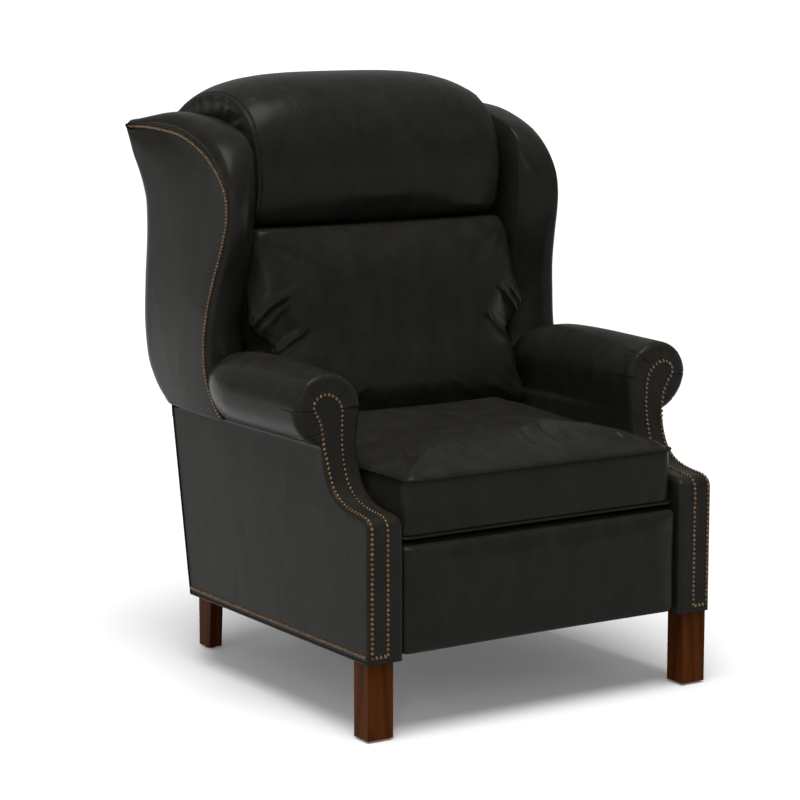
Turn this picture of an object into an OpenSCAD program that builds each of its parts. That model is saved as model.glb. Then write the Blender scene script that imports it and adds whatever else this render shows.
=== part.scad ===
// Wingback recliner: rolled arms, wings and headrest, with a push-back back and a folding footrest.
// Working frame: x = 0 is the middle, y = 0 the front of the front legs, z = 0 the floor.

/* [Seat and arms] */
// Clear width between the arms
seat_w = 612; // [520:2:700]
// Thickness of an arm below its roll
arm_t = 74; // [60:1:95]
// Height of the arm above the floor
arm_h = 635; // [560:1:700]
// Radius of the arm roll
roll_r = 65; // [50:1:72]
// Height of the floor gap under the body
body_z = 142; // [100:1:180]
// Height of the outside arm panel's top seam
seam_z = 505; // [480:1:520]
// Distance from the legs' front back to the roll's front
scroll_y = 140; // [110:1:170]
// Height where the front post ends and the swoop starts
post_top_z = 388; // [350:1:410]
// How far the leather stands in front of the legs
post_proud = 8; // [4:1:15]
// Depth of the side panel along the bottom
side_depth = 635; // [560:1:680]
// How much further back the side panel's top corner stands than its foot
side_rake = 65; // [40:1:80]

/* [Cushions] */
// Thickness of the seat cushion at its border
seat_cushion_t = 101; // [80:1:130]
// Height of the seat cushion's underside
seat_cushion_z = 356; // [330:1:380]
// Depth of the seat cushion
seat_cushion_d = 508; // [440:1:515]
// Rise of the cushion's crown above its top seam
seat_crown = 32; // [15:1:40]
// Height of the lower back cushion's top
back_cushion_top = 850; // [780:1:880]
// Half of the headrest's width
headrest_hw = 285; // [250:1:292]
// Height of the headrest's top
headrest_top = 1140; // [1090:1:1200]

/* [Back] */
// Height of the wing's top edge
wing_top = 1037; // [980:1:1060]
// Depth at which the outside back's lower edge stands
back_low_y = 870; // [850:1:900]
// Depth at which the outside back's upper edge stands
back_high_y = 925; // [900:1:960]
// Height of the outside back's lower edge
skirt_z = 450; // [440:1:480]
// Fullness of the wing's padded front edge
wing_bulge = 12; // [5:1:18]
// Fullness of the wing's padded top edge
wing_crown = 32; // [10:1:36]

/* [Legs] */
// Width of a front leg
front_leg_w = 52; // [40:1:60]
// Depth of a front leg
front_leg_d = 46; // [38:1:55]
// Height of the glides under the legs
glide_h = 4; // [3:1:8]
// Width of a rear leg
rear_leg_w = 28; // [22:1:36]
// Depth of a rear leg at its top
rear_leg_top_d = 50; // [40:1:56]
// Depth of a rear leg at its foot
rear_leg_foot_d = 40; // [30:1:48]

/* [Mechanism] */
// Height of the back's hinge
back_pivot_z = 430; // [420:1:440]
// Depth of the back's hinge
back_pivot_y = 720; // [712:1:726]
// Length of the swing links that carry the seat
swing_l = 130; // [120:1:138]
// Angle by which the swing links lean back at rest
swing_lean = 17.5; // [14:0.5:20]
// Length of the rods between back and seat
rod_l = 180; // [165:1:195]
// Length of the footrest's rear links
foot_link_a = 155; // [140:1:158]
// Length of the footrest's front links
foot_link_b = 168; // [150:1:172]
// Thickness of the steel plates and links
steel_t = 4; // [3:0.5:4.5]
// Radius of the pins
pin_r = 4; // [3:0.5:5]
// Running clearance round a pin
pin_gap = 0.05; // [0.02:0.01:0.1]

/* [Hidden] */

$fn = 48;

// Colours as the photograph shows them
leather_c = [0.17, 0.16, 0.15];
wood_c = [0.42, 0.22, 0.12];
timber_c = [0.72, 0.56, 0.36];
steel_c = [0.33, 0.34, 0.36];
glide_c = [0.12, 0.11, 0.10];

// Overrun of a cut past the face it opens
cut_over = 1;
// Gap between upholstered pieces that move past each other
soft_gap = 1.5;
// How far the arm roll stands in over the seat
roll_sink = 1;

// Places that follow from the driving sizes
side_top_depth = side_depth + side_rake;
arm_in = seat_w / 2;
arm_out = arm_in + arm_t;
roll_x = arm_in + roll_r - roll_sink;
roll_z = arm_h - roll_r;
front_y = -post_proud;
rear_lean = side_rake / (seam_z - body_z);
back_lean = (back_high_y - back_low_y) / (wing_top - skirt_z);
back_face_top = wing_top + post_proud;
rear_y = back_low_y + back_lean * (back_face_top - skirt_z);
mid_y = (front_y + rear_y) / 2;

// Thicknesses of the upholstered layers
panel_t = 14;
arm_pad_t = 19;
facing_t = 12;

// Timber sizes
rail_h = 60;
rail_t = 34;
board_t = 35;
post_d = 54;

module placed() {
  translate([0, -mid_y, 0]) children();
}

// Turns a flat outline drawn in depth and height into a plate across the width
module across(x0, t) {
  translate([x0, 0, 0]) rotate([90, 0, 90]) linear_extrude(t) children();
}

module right_side() {
  placed() children();
}

module left_side() {
  placed() mirror([1, 0, 0]) children();
}

module both_sides() {
  placed() {
    children();
    mirror([1, 0, 0]) children();
  }
}

// A block between two opposite corners
module block(low, high) {
  translate(low) cube(high - low);
}

function mix(a, b, t) = a + (b - a) * t;
function reversed(v) = [for (i = [len(v) - 1 : -1 : 0]) v[i]];
function placed_shares(shares, origin, size) =
  [for (s = shares) [origin[0] + s[0] * size[0], origin[1] + s[1] * size[1]]];

// Smooth curve through points, with the given number of steps in each span
function spline_point(a, b, c, d, t) =
  0.5 * ((2 * b) + (c - a) * t + (2 * a - 5 * b + 4 * c - d) * t * t
    + (3 * b - a - 3 * c + d) * t * t * t);
function smooth(v, steps) = concat(
  [for (i = [0 : len(v) - 2], k = [0 : steps - 1])
    spline_point(v[max(i - 1, 0)], v[i], v[i + 1], v[min(i + 2, len(v) - 1)], k / steps)],
  [v[len(v) - 1]]);

// Unit normal on the left of an open line at one of its points
function line_dir(v, i) = v[min(i + 1, len(v) - 1)] - v[max(i - 1, 0)];
function unit(v) = v / norm(v);
function left_normal(v, i) = let (d = unit(line_dir(v, i))) [-d[1], d[0]];
function moved_left(v, gap) = [for (i = [0 : len(v) - 1]) v[i] + gap * left_normal(v, i)];

// Solid skin through closed rings that all have the same number of points.
// Each end is closed by a fan round its middle, and seen along the way from
// the first ring to the last a ring turns clockwise.
function middle(ring) = [for (v = ring) 1] * ring / len(ring);
module loft(rings, first_mid, last_mid) {
  n = len(rings[0]);
  m = len(rings);
  points = concat([for (r = rings, p = r) p],
    [is_undef(first_mid) ? middle(rings[0]) : first_mid,
      is_undef(last_mid) ? middle(rings[m - 1]) : last_mid]);
  sides = [for (k = [0 : m - 2], i = [0 : n - 1], half = [0, 1])
    let (j = (i + 1) % n, a = k * n + i, b = k * n + j, c = (k + 1) * n + j, d = (k + 1) * n + i)
    half == 0 ? [a, b, c] : [a, c, d]];
  ends = [for (i = [0 : n - 1], last = [0, 1])
    let (j = (i + 1) % n, base = last * (m - 1) * n)
    last == 0 ? [j, i, m * n] : [base + i, base + j, m * n + 1]];
  polyhedron(points, concat(sides, ends));
}

// A crowned boxed pad: its sides draw in between the corners
// and each ring is [share of the width kept, height]
function pad_ring(w, d, corner, pull, keep, z, per_corner = 6) =
  let (hw = w / 2 * keep, hd = d / 2 * keep, r = corner * keep)
  [for (q = [0 : 3], k = [0 : per_corner])
    k < per_corner
      ? let (a = 90 * q + 90 * k / (per_corner - 1),
          cx = (q == 0 || q == 3 ? 1 : -1) * (hw - r), cy = (q < 2 ? 1 : -1) * (hd - r))
        [cx + r * cos(a), cy + r * sin(a), z]
      : let (a = 90 * q + 90, flat = q % 2 == 0 ? hd : hw)
        [cos(a) * (hw - pull * keep), sin(a) * (hd - pull * keep), z]];

module crowned_pad(w, d, t, crown, corner, pull) {
  keep_shares = [0.965, 0.995, 1, 0.995, 0.975, 0.90, 0.72, 0.42];
  side_shares = [0, 0.12, 0.5, 0.88, 1];
  crown_shares = [0.38, 0.78, 1];
  loft([for (i = [0 : 7])
    reversed(pad_ring(w, d, corner, pull, keep_shares[i],
      i < 5 ? t * side_shares[i] : t + crown * crown_shares[i - 5]))]);
}

// Front of the arm: the swoop from the top of the post up to the roll
swoop_shares = [[0, 0], [0.10, 0.075], [0.42, 0.13], [0.78, 0.30], [1.02, 0.64], [1.08, 1]];
swoop = smooth(placed_shares(swoop_shares, [front_y, post_top_z],
  [scroll_y - front_y, seam_z - post_top_z]), 4);
arm_front = concat([[front_y, body_z]], swoop);
arm_front_in = concat([[front_y + facing_t, body_z]], [for (i = [0 : len(swoop) - 1])
  swoop[i] - facing_t * left_normal(swoop, i)]);
arm_back = [[side_top_depth, seam_z], [side_depth, body_z]];

// Front edge of the wing from its lower corner to the back of its top, in shares
// of the wing's height and of the depth of the back
wing_low_y = 530;
wing_h = wing_top - seam_z;
wing_d = back_low_y - wing_low_y;
wing_front_shares = [[0, 0], [0.045, 0.085], [0.10, 0.16], [0.11, 0.25], [0.07, 0.37], [-0.01, 0.47],
  [-0.10, 0.58], [-0.16, 0.67], [-0.172, 0.755], [-0.13, 0.82], [-0.055, 0.875], [0.08, 0.935],
  [0.225, 0.975], [0.42, 0.997], [0.70, 1.0], [1.0, 1.0]];
wing_rear_shares = [[1.0, 1.0], [0.92, 0.895], [0.83, 0.81], [0.77, 0.725], [0.76, 0.60],
  [0.79, 0.47], [0.81, 0.33], [0.795, 0.20], [0.735, 0.105], [0.655, 0.05], [0.51, 0.003]];
wing_front = smooth(placed_shares(wing_front_shares, [wing_low_y, seam_z + soft_gap],
  [wing_d, wing_h - soft_gap]), 2);
wing_rear = smooth(placed_shares(wing_rear_shares, [wing_low_y, seam_z + soft_gap],
  [wing_d, wing_h - soft_gap]), 1);

function back_face(z) = back_low_y + back_lean * (z - skirt_z);

module front_leg() {
  color(wood_c)
    translate([arm_out - post_proud / 2 - front_leg_w, 0, glide_h])
      cube([front_leg_w, front_leg_d, body_z - glide_h]);
}

// The rear corners of the base turn inward to the back panel
rear_out = 150;
corner_in = arm_in - post_proud + soft_gap;
rear_rail_x = corner_in - panel_t / 2;

rear_leg_y = side_depth + rear_leg_top_d + front_leg_w;
rear_leg_x = rear_rail_x - rear_leg_w / 2;
module rear_leg() {
  inner_y = rear_leg_y + rear_leg_top_d / 2 - rear_leg_top_d;
  outer_y = rear_leg_y + rear_leg_top_d / 2;
  color(wood_c)
    across(rear_leg_x - rear_leg_w / 2, rear_leg_w)
      polygon([[outer_y, glide_h], [outer_y, body_z], [inner_y, body_z],
        [outer_y - rear_leg_foot_d, glide_h]]);
}

glide_r = 10;
module glides() {
  front_x = arm_out - post_proud / 2 - front_leg_w / 2;
  rear_y_foot = rear_leg_y + rear_leg_top_d / 2 - rear_leg_foot_d / 2;
  color(glide_c)
    both_sides() {
      translate([front_x, front_leg_d / 2, 0]) cylinder(r = glide_r, h = glide_h);
      translate([rear_leg_x, rear_y_foot, 0]) cylinder(r = glide_r, h = glide_h);
    }
}

// Timber inside the arms
timber_in = arm_in + arm_pad_t;
timber_out = arm_out - panel_t;
timber_front = front_y + facing_t;

module side_rail() {
  color(timber_c)
    block([timber_in, timber_front, body_z], [timber_out, side_depth, body_z + rail_h]);
}

module front_posts() {
  color(timber_c)
    both_sides()
      block([timber_in, timber_front, body_z + rail_h],
        [timber_out, timber_front + post_d, post_top_z - facing_t]);
}

module rear_posts() {
  color(timber_c)
    both_sides()
      block([timber_in, side_depth - post_d, body_z + rail_h],
        [timber_out, side_depth, seam_z - board_t]);
}

module arm_boards() {
  color(timber_c)
    both_sides()
      block([timber_in, scroll_y + post_d, seam_z - board_t], [timber_out, side_depth, seam_z]);
}

rear_rail_y = rear_leg_y - rear_leg_top_d / 2;
module rear_rail() {
  color(timber_c)
    placed()
      block([-rear_rail_x, rear_rail_y, body_z],
        [rear_rail_x, side_depth + rear_out - panel_t, body_z + rail_h]);
}

module corner_rails() {
  color(timber_c)
    both_sides()
      translate([0, 0, body_z]) linear_extrude(rail_h)
        polygon([[timber_out - soft_gap, side_depth], [timber_in, side_depth],
          [timber_in, side_depth + rear_lean * rail_h], [rear_rail_x - rail_t, rear_rail_y],
          [rear_rail_x, rear_rail_y]]);
}

module front_rail() {
  color(timber_c)
    placed()
      block([-arm_in, scroll_y - post_proud, body_z],
        [arm_in, scroll_y + rail_t / 2, body_z + rail_h]);
}

base_panel_top = 454;
module base_rear_panel() {
  rear = side_depth + rear_out;
  angle = atan(rear_lean);
  plan = [[arm_out, side_depth], [corner_in, rear], [-corner_in, rear], [-arm_out, side_depth],
    [-arm_out + panel_t, side_depth], [-rear_rail_x, rear - panel_t],
    [rear_rail_x, rear - panel_t], [arm_out - panel_t, side_depth]];
  top_y = rear + rear_lean * (base_panel_top - body_z);
  color(leather_c)
    placed()
      intersection() {
        translate([0, 0, body_z]) rotate([-angle, 0, 0])
          linear_extrude(2 * base_panel_top)
            polygon([for (p = plan) [p[0], p[1] * cos(angle)]]);
        across(-arm_out, 2 * arm_out)
          polygon([[0, body_z], [2 * rear, body_z], [2 * rear, base_panel_top],
            [top_y, base_panel_top], [side_top_depth, seam_z - soft_gap], [0, seam_z - soft_gap]]);
      }
}

// Room that the wing's front edge needs in the end of the arm roll
module wing_room(x0, x1, gap) {
  edge = [for (p = moved_left(wing_front, gap)) if (p[1] < arm_h + roll_r / 2) p];
  far_y = back_high_y;
  across(x0, x1 - x0)
    polygon(concat([[far_y, seam_z - cut_over], [edge[0][0], seam_z - cut_over]], edge,
      [[edge[len(edge) - 1][0], arm_h + roll_r], [far_y, arm_h + roll_r]]));
}

// The roll is a turned bolster with a domed front
roll_back_y = 566;
dome = 16;
face_crown = 4;
module turned_roll() {
  translate([roll_x, scroll_y, roll_z]) rotate([-90, 0, 0])
    rotate_extrude()
      polygon(concat([[0, roll_back_y - scroll_y], [0, -face_crown]],
        [for (a = [0 : 15 : 90]) [roll_r - dome + dome * sin(a), dome - dome * cos(a)]],
        [[roll_r, roll_back_y - scroll_y]]));
}

// Its rear end sinks and narrows where it meets the wing: each share is a place along
// that end and how much of the roll's height and width is left there
roll_end_l = 166;
roll_end_shares = [[0.19, 0.985], [0.34, 0.94], [0.48, 0.877], [0.60, 0.80], [0.72, 0.69],
  [0.84, 0.54], [0.94, 0.34], [1, 0.12]];
module arm_roll() {
  low = [roll_x - roll_r, roll_z - roll_r];
  front = scroll_y - face_crown - cut_over;
  full = 2 * roll_r;
  start = roll_back_y - roll_end_l;
  intersection() {
    turned_roll();
    across(low[0] - cut_over, full + 2 * cut_over)
      polygon(concat([[roll_back_y + cut_over, low[1] - cut_over], [front, low[1] - cut_over],
        [front, arm_h + cut_over], [start, arm_h + cut_over]],
        [for (e = roll_end_shares) [start + roll_end_l * e[0], low[1] + full * e[1]]]));
    translate([0, 0, low[1] - cut_over]) linear_extrude(full + 2 * cut_over)
      polygon(concat([[low[0] - cut_over, roll_back_y + cut_over], [low[0] - cut_over, front],
        [low[0] + full + cut_over, front], [low[0] + full + cut_over, start]],
        [for (e = roll_end_shares) [low[0] + full * e[1], start + roll_end_l * e[0]]]));
  }
}

module inside_arm() {
  color(leather_c)
    difference() {
      union() {
        arm_roll();
        across(arm_in, arm_pad_t)
          polygon(concat(arm_front_in,
            [[scroll_y + roll_r / 2, roll_z], [roll_back_y, roll_z]], arm_back));
      }
      wing_room(arm_in - 2 * soft_gap, wing_out + soft_gap, wing_bulge + 2 * soft_gap);
      wing_room(wing_out, wing_out + roll_r, soft_gap);
      block([timber_in, scroll_y, body_z], [timber_out, side_top_depth, seam_z]);
      block([timber_out, scroll_y - post_d, body_z], [arm_out + cut_over, side_top_depth, seam_z]);
    }
}

// The outer panel's top edge starts this far in front of the wing's lower corner
gusset_w = 32;
module outside_arm() {
  color(leather_c)
    across(timber_out, panel_t)
      polygon(concat(arm_front_in,
        [[wing_low_y - gusset_w, seam_z], [side_top_depth, seam_z]], [[side_depth, body_z]]));
}

module arm_facing() {
  color(leather_c)
    across(arm_in, arm_t)
      polygon(concat(arm_front, reversed(arm_front_in)));
}

// Back
back_post_y = 692;
back_post_d = 40;
back_post_in = 250;
back_post_out = 284;
back_post_top = 1028;
back_post_low = 440;
back_rail_h = 45;
wing_in = 300;

module back_post() {
  color(timber_c) {
    block([back_post_in, back_post_y, back_post_low],
      [back_post_out, back_post_y + back_post_d, back_post_top]);
    block([back_post_out, back_post_y, seam_z + panel_t],
      [wing_in, back_post_y + back_post_d, back_post_top]);
  }
}

module back_rail(z) {
  color(timber_c)
    placed()
      block([-back_post_in, back_post_y, z], [back_post_in, back_post_y + back_post_d, z + back_rail_h]);
}

// A sinuous spring lies flat: its wire runs to and fro over the width
spring_w = 50;
spring_pitch = 34;
wire = 4;
module sinuous(length) {
  turns = floor(length / spring_pitch);
  amp = spring_w / 2;
  steps = 6;
  track = [for (k = [0 : turns * steps]) [length * k / (turns * steps), amp * sin(180 * k / steps + 90)]];
  linear_extrude(wire)
    polygon(concat(moved_left(track, wire / 2), reversed(moved_left(track, -wire / 2))));
}

back_spring_n = 4;
back_spring_edge_share = 0.5;
module back_springs() {
  span = back_post_top - back_post_low;
  color(steel_c)
    placed()
      for (i = [0 : back_spring_n - 1])
        translate([(i - (back_spring_n - 1) / 2) * 2 * back_post_in
            / (back_spring_n + back_spring_edge_share), back_post_y, back_post_low])
          rotate([90, -90, 0]) sinuous(span);
}

module outside_back() {
  color(leather_c)
    placed()
      across(-wing_in, 2 * wing_in)
        polygon([[back_low_y, skirt_z], [back_face(wing_top), wing_top],
          [back_face(wing_top) - panel_t, wing_top], [back_low_y - panel_t, skirt_z]]);
}

// The wing is lofted from its inner face to its outer one
wing_out = arm_out + post_proud / 2;
wing_steps = 6;
wing_x_shares = [0, 0.25, 0.5, 0.78, 0.93, 1];
wing_full_shares = [0.1, 0.85, 1, 0.75, 0.35, 0];
// Height over which the padding grows from the front edge's fullness to the top's
crown_run = 90;
function wing_fullness(z) =
  mix(wing_bulge, wing_crown, max(0, min(1, (z - wing_top + crown_run) / crown_run)));
module wing() {
  nf = len(wing_front);
  outer = concat(wing_front, [for (i = [1 : len(wing_rear) - 1]) wing_rear[i]]);
  color(leather_c)
    loft([for (k = [0 : wing_steps - 1])
      let (t = wing_x_shares[k])
      [for (i = [0 : len(outer) - 1])
        let (p = outer[i], is_front = i < nf - 1 && i > 0,
          n = is_front ? left_normal(wing_front, i) * wing_fullness(p[1]) : [0, 0],
          rear_in = [back_face(p[1]), p[1]],
          low_in = [back_face(seam_z + soft_gap), seam_z + soft_gap],
          inner = i < nf ? (i == nf - 1 ? rear_in : p)
            : (i == len(outer) - 1 ? low_in : rear_in),
          q = mix(inner, p, t * t) + n * wing_full_shares[k])
        [mix(wing_in, wing_out, t), q[0], q[1]]]]);
}

// Headrest: a bolster over the top of the back, with gathered ends
head_shares = [[0.075, 0], [0.02, 0.12], [0, 0.38], [0.03, 0.62], [0.12, 0.83], [0.26, 0.955],
  [0.45, 1], [0.66, 0.965], [0.85, 0.86], [0.97, 0.72], [1, 0.655]];
head_low_z = back_cushion_top + soft_gap;
head_front_y = 514;
head_end_drop = 38;
head_end_back = 22;
head_rear_z = wing_top + soft_gap;
head_mid_share = 0.08;
head_mid = [back_post_y - back_post_d, mix(head_rear_z, headrest_top, head_mid_share)];
head_x_shares = [-1, -0.985, -0.93, -0.82, -0.6, -0.3, 0, 0.3, 0.6, 0.82, 0.93, 0.985, 1];
head_cap_shares = [1, 0.45, 0.1, 0, 0, 0, 0, 0, 0, 0, 0.1, 0.45, 1];
head_draw_share = 0.09;
module headrest() {
  color(leather_c)
    placed()
      loft([for (i = [0 : len(head_x_shares) - 1])
        let (s = head_x_shares[i], e = pow(abs(s), 4),
          grow = 1 - head_draw_share * head_cap_shares[i],
          top = headrest_top - head_end_drop * e,
          fore = head_front_y + head_end_back * e)
        concat(
          [for (p = smooth(placed_shares(head_shares, [fore, head_low_z],
              [rear_y - fore, top - head_low_z]), 2))
            let (c = [(fore + rear_y) / 2, (head_rear_z + top) / 2])
            [s * headrest_hw, mix(c[0], p[0], grow), mix(c[1], p[1], grow)]],
          [[s * headrest_hw, rear_y - panel_t, head_rear_z],
            [s * headrest_hw, back_post_y - wire, head_rear_z],
            [s * headrest_hw, back_post_y - wire, head_low_z]])],
        [-headrest_hw, head_mid[0], head_mid[1]], [headrest_hw, head_mid[0], head_mid[1]]);
}

// Lower back cushion: rings from its foot to its top, each with the half width at
// its front, the half width behind the wing's edge and the depth of its face
cushion_z_shares = [0, 0.03, 0.10, 0.22, 0.34, 0.405, 0.46, 0.52, 0.60, 0.74, 0.88, 0.97, 1];
cushion_w_shares = [0.90, 0.95, 0.975, 0.965, 0.93, 0.885, 0.95, 1.07, 1.05, 1.0, 0.965, 0.93, 0.90];
cushion_y_shares = [1, 0.72, 0.42, 0.14, 0.06, 0.12, 0.06, 0, 0.02, 0.16, 0.42, 0.75, 1];
cushion_foot = 470;
cushion_face = 498;
cushion_draw = 38;
cushion_hw = 296;
// Across its front: share of the half width, and share of the draw behind the face
cushion_turn_share = 0.75;
cushion_front_shares = [[1, 0.42], [0.95, 0.13], [0.80, -0.06], [0.45, -0.18], [0, -0.22]];
module back_cushion() {
  back_y = back_post_y - wire;
  color(leather_c)
    placed()
      loft([for (i = [0 : len(cushion_z_shares) - 1])
        let (z = mix(cushion_foot, back_cushion_top, cushion_z_shares[i]),
          w = cushion_hw * cushion_w_shares[i],
          wr = min(w, cushion_hw - post_proud / 2),
          f = cushion_face + cushion_draw * cushion_y_shares[i],
          half = concat([[wr, back_y], [wr, f + cushion_draw],
              [w - soft_gap, f + cushion_turn_share * cushion_draw]],
            [for (c = cushion_front_shares) [w * c[0], f + c[1] * cushion_draw]]))
        concat([for (p = half) [p[0], p[1], z]],
          [for (k = [len(half) - 2 : -1 : 0]) [-half[k][0], half[k][1], z]])]);
}

// Mechanism
bar_w = 20;
lobe_share = 0.6;
boss_share = 0.7;
edge_share = 0.65;
toe_shares = [-0.6, -0.3];
heel_shares = [0.65, -0.2];
plate_gap = 1;
lever_l = 185;
plane_a = back_post_out;
plane_b = plane_a + steel_t + plate_gap;
plane_c = plane_b + steel_t + plate_gap;
rail_x = plane_c + steel_t + soft_gap;
back_pivot = [back_pivot_y, back_pivot_z];
lever_end = back_pivot - [0, lever_l];
recline_angle = 25;
rod_drop = lever_l * (1 - cos(recline_angle)) / 2;
rod_lean = asin(rod_drop / rod_l);
seat_rod_pivot = lever_end + rod_l * [-cos(rod_lean), sin(rod_lean)];
swing_z = 332;
front_swing_y = 215;
rear_swing_y = 445;
swing_hang = [swing_l * sin(swing_lean), -swing_l * cos(swing_lean)];
front_swing = [front_swing_y, swing_z];
rear_swing = [rear_swing_y, swing_z];
open_pivot_gap = 2.6;
foot_pivot = [125, 304];
foot_a_closed = -96;
foot_b_closed = 99;
elbow = foot_pivot + foot_link_a * [cos(foot_a_closed), sin(foot_a_closed)];
foot_end = elbow + foot_link_b * [cos(foot_b_closed), sin(foot_b_closed)];

// A flat link with round ends, bored at both
module link_shape(a, b, w, bore, far_bore) {
  d = unit(b - a);
  side = [-d[1], d[0]] * w / 2;
  difference() {
    union() {
      translate(a) circle(w / 2);
      translate(b) circle(w / 2);
      polygon([a + side, b + side, b - side, a - side]);
    }
    translate(a) circle(bore);
    translate(b) circle(far_bore);
  }
}

module link_bar(a, b, x0, far_gap = pin_gap) {
  color(steel_c)
    across(x0, steel_t) link_shape(a, b, bar_w, pin_r + pin_gap, pin_r + far_gap);
}

// A riveted pin
module pin(p, x0, x1) {
  color(steel_c)
    translate([x0, p[0], p[1]]) rotate([0, 90, 0]) cylinder(r = pin_r, h = x1 - x0);
}

module mechanism_rails() {
  foot = front_swing_y - bar_w * 2;
  far = rear_swing_y + bar_w * 2;
  color(steel_c)
    both_sides()
      across(rail_x, arm_in - rail_x)
        difference() {
          polygon([[foot, swing_z - bar_w], [far, swing_z - bar_w],
            [far, swing_z + bar_w], [foot, swing_z + bar_w]]);
          translate(front_swing) circle(pin_r + pin_gap);
          translate(rear_swing) circle(pin_r + pin_gap);
        }
}

module base_pins() {
  both_sides() {
    pin(front_swing, plane_b, arm_in - pin_gap);
    pin(rear_swing, plane_b, arm_in - pin_gap);
  }
}

module hinge_plates() {
  color(steel_c)
    both_sides()
      across(rail_x, arm_in - rail_x)
        difference() {
          union() {
            polygon([[side_depth - post_d, back_pivot_z - bar_w], [back_pivot_y, back_pivot_z - bar_w],
              [back_pivot_y, back_pivot_z + bar_w], [side_depth - post_d, back_pivot_z + bar_w]]);
            translate(back_pivot) circle(bar_w);
          }
          translate(back_pivot) circle(pin_r + pin_gap);
        }
}

module hinge_pins() {
  both_sides() pin(back_pivot, plane_a, arm_in - pin_gap);
}

module back_brackets() {
  color(steel_c)
    both_sides()
      across(plane_a, steel_t)
        difference() {
          union() {
            polygon([[back_pivot_y - bar_w, back_pivot_z], [back_pivot_y + bar_w * lobe_share, back_pivot_z],
              [back_post_y + back_post_d, seam_z - soft_gap], [back_post_y, seam_z - soft_gap]]);
            translate(back_pivot) circle(bar_w);
            translate(lever_end) circle(bar_w / 2);
            polygon([lever_end + [-bar_w / 2, 0], lever_end + [bar_w / 2, 0],
              back_pivot + [bar_w / 2, 0], back_pivot + [-bar_w / 2, 0]]);
          }
          translate(back_pivot) circle(pin_r + pin_gap);
          translate(lever_end) circle(pin_r + pin_gap);
        }
}

module drive_rods() {
  both_sides() link_bar(lever_end, seat_rod_pivot, plane_b, open_pivot_gap);
}

module rod_pins() {
  both_sides() pin(lever_end, plane_a, plane_b + steel_t);
}

module front_swing_links() {
  both_sides() link_bar(front_swing, front_swing + swing_hang, plane_b);
}

module rear_swing_links() {
  both_sides() link_bar(rear_swing, rear_swing + swing_hang, plane_b);
}

// Seat
seat_frame_top = seat_cushion_z;
seat_rail_h = 34;
seat_frame_front = 52;
seat_frame_rear = 512;

module seat_rail() {
  color(timber_c)
    block([plane_a - rail_t, seat_frame_front, seat_frame_top - seat_rail_h],
      [plane_a, seat_frame_rear, seat_frame_top]);
}

module seat_cross(y) {
  color(timber_c)
    placed()
      block([rail_t - plane_a, y, seat_frame_top - seat_rail_h],
        [plane_a - rail_t, y + rail_t, seat_frame_top - wire]);
}

seat_spring_n = 5;
seat_spring_edge_share = 0.3;
module seat_springs() {
  span = seat_frame_rear - seat_frame_front;
  color(steel_c)
    placed()
      for (i = [0 : seat_spring_n - 1])
        translate([(i - (seat_spring_n - 1) / 2) * 2 * (plane_a - rail_t)
            / (seat_spring_n + seat_spring_edge_share), seat_frame_front, seat_frame_top - wire])
          rotate([0, 0, 90]) sinuous(span);
}

cushion_side_gap = 11;
cushion_corner = 48;
cushion_pull = 4;
module seat_cushion() {
  w = seat_w - 2 * cushion_side_gap;
  color(leather_c)
    placed()
      translate([0, post_proud + seat_cushion_d / 2, seat_cushion_z])
        crowned_pad(w, seat_cushion_d, seat_cushion_t, seat_crown, cushion_corner, cushion_pull);
}

module seat_plates() {
  holes = [foot_pivot, front_swing + swing_hang, rear_swing + swing_hang, seat_rod_pivot];
  edge = [bar_w * edge_share, 0];
  color(steel_c)
    both_sides()
      across(plane_a, steel_t)
        difference() {
          union() {
            for (p = holes)
              translate(p) circle(bar_w * boss_share);
            polygon([foot_pivot + bar_w * toe_shares,
              foot_pivot + [0, bar_w * 2], [seat_rod_pivot[0] - bar_w, seat_frame_top - wire],
              seat_rod_pivot + edge, seat_rod_pivot - edge,
              rear_swing + swing_hang + bar_w * heel_shares,
              rear_swing + swing_hang - edge,
              [rear_swing_y - bar_w, foot_pivot[1] - bar_w / 2],
              [front_swing_y + swing_hang[0] + 2 * bar_w, foot_pivot[1] - bar_w / 2],
              front_swing + swing_hang + edge,
              front_swing + swing_hang - edge]);
          }
          for (p = holes)
            translate(p) circle(pin_r + pin_gap);
        }
}

module seat_pins() {
  both_sides() {
    pin(foot_pivot, plane_a, plane_b + steel_t);
    pin(front_swing + swing_hang, plane_a, plane_b + steel_t);
    pin(rear_swing + swing_hang, plane_a, plane_b + steel_t);
    pin(seat_rod_pivot, plane_a, plane_b + steel_t);
  }
}

// Footrest
tube_r = 9;
tube_wall = 1.5;
tube_share = 0.4;
module foot_rear_links() {
  both_sides() link_bar(foot_pivot, elbow, plane_b);
}

module foot_cross_tube() {
  at = mix(foot_pivot, elbow, tube_share);
  color(steel_c)
    placed()
      translate([-plane_b, at[0], at[1]]) rotate([0, 90, 0])
        difference() {
          cylinder(r = tube_r, h = 2 * plane_b);
          translate([0, 0, -cut_over]) cylinder(r = tube_r - tube_wall, h = 2 * plane_b + 2 * cut_over);
        }
}

module foot_front_links() {
  both_sides() link_bar(elbow, foot_end, plane_c);
}

module elbow_pins() {
  both_sides() pin(elbow, plane_b, plane_c + steel_t);
}

board_front = 24;
foot_board_t = 16;
foot_top_z = 336;
foot_clear = 6;
foot_low_z = body_z + foot_clear;
foot_hw = arm_in - cushion_side_gap / 2;
foot_pad_t = board_front - front_y - soft_gap;
foot_border_share = 0.75;
foot_corner = 24;
foot_pull = 2;
flange = 22;

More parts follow.
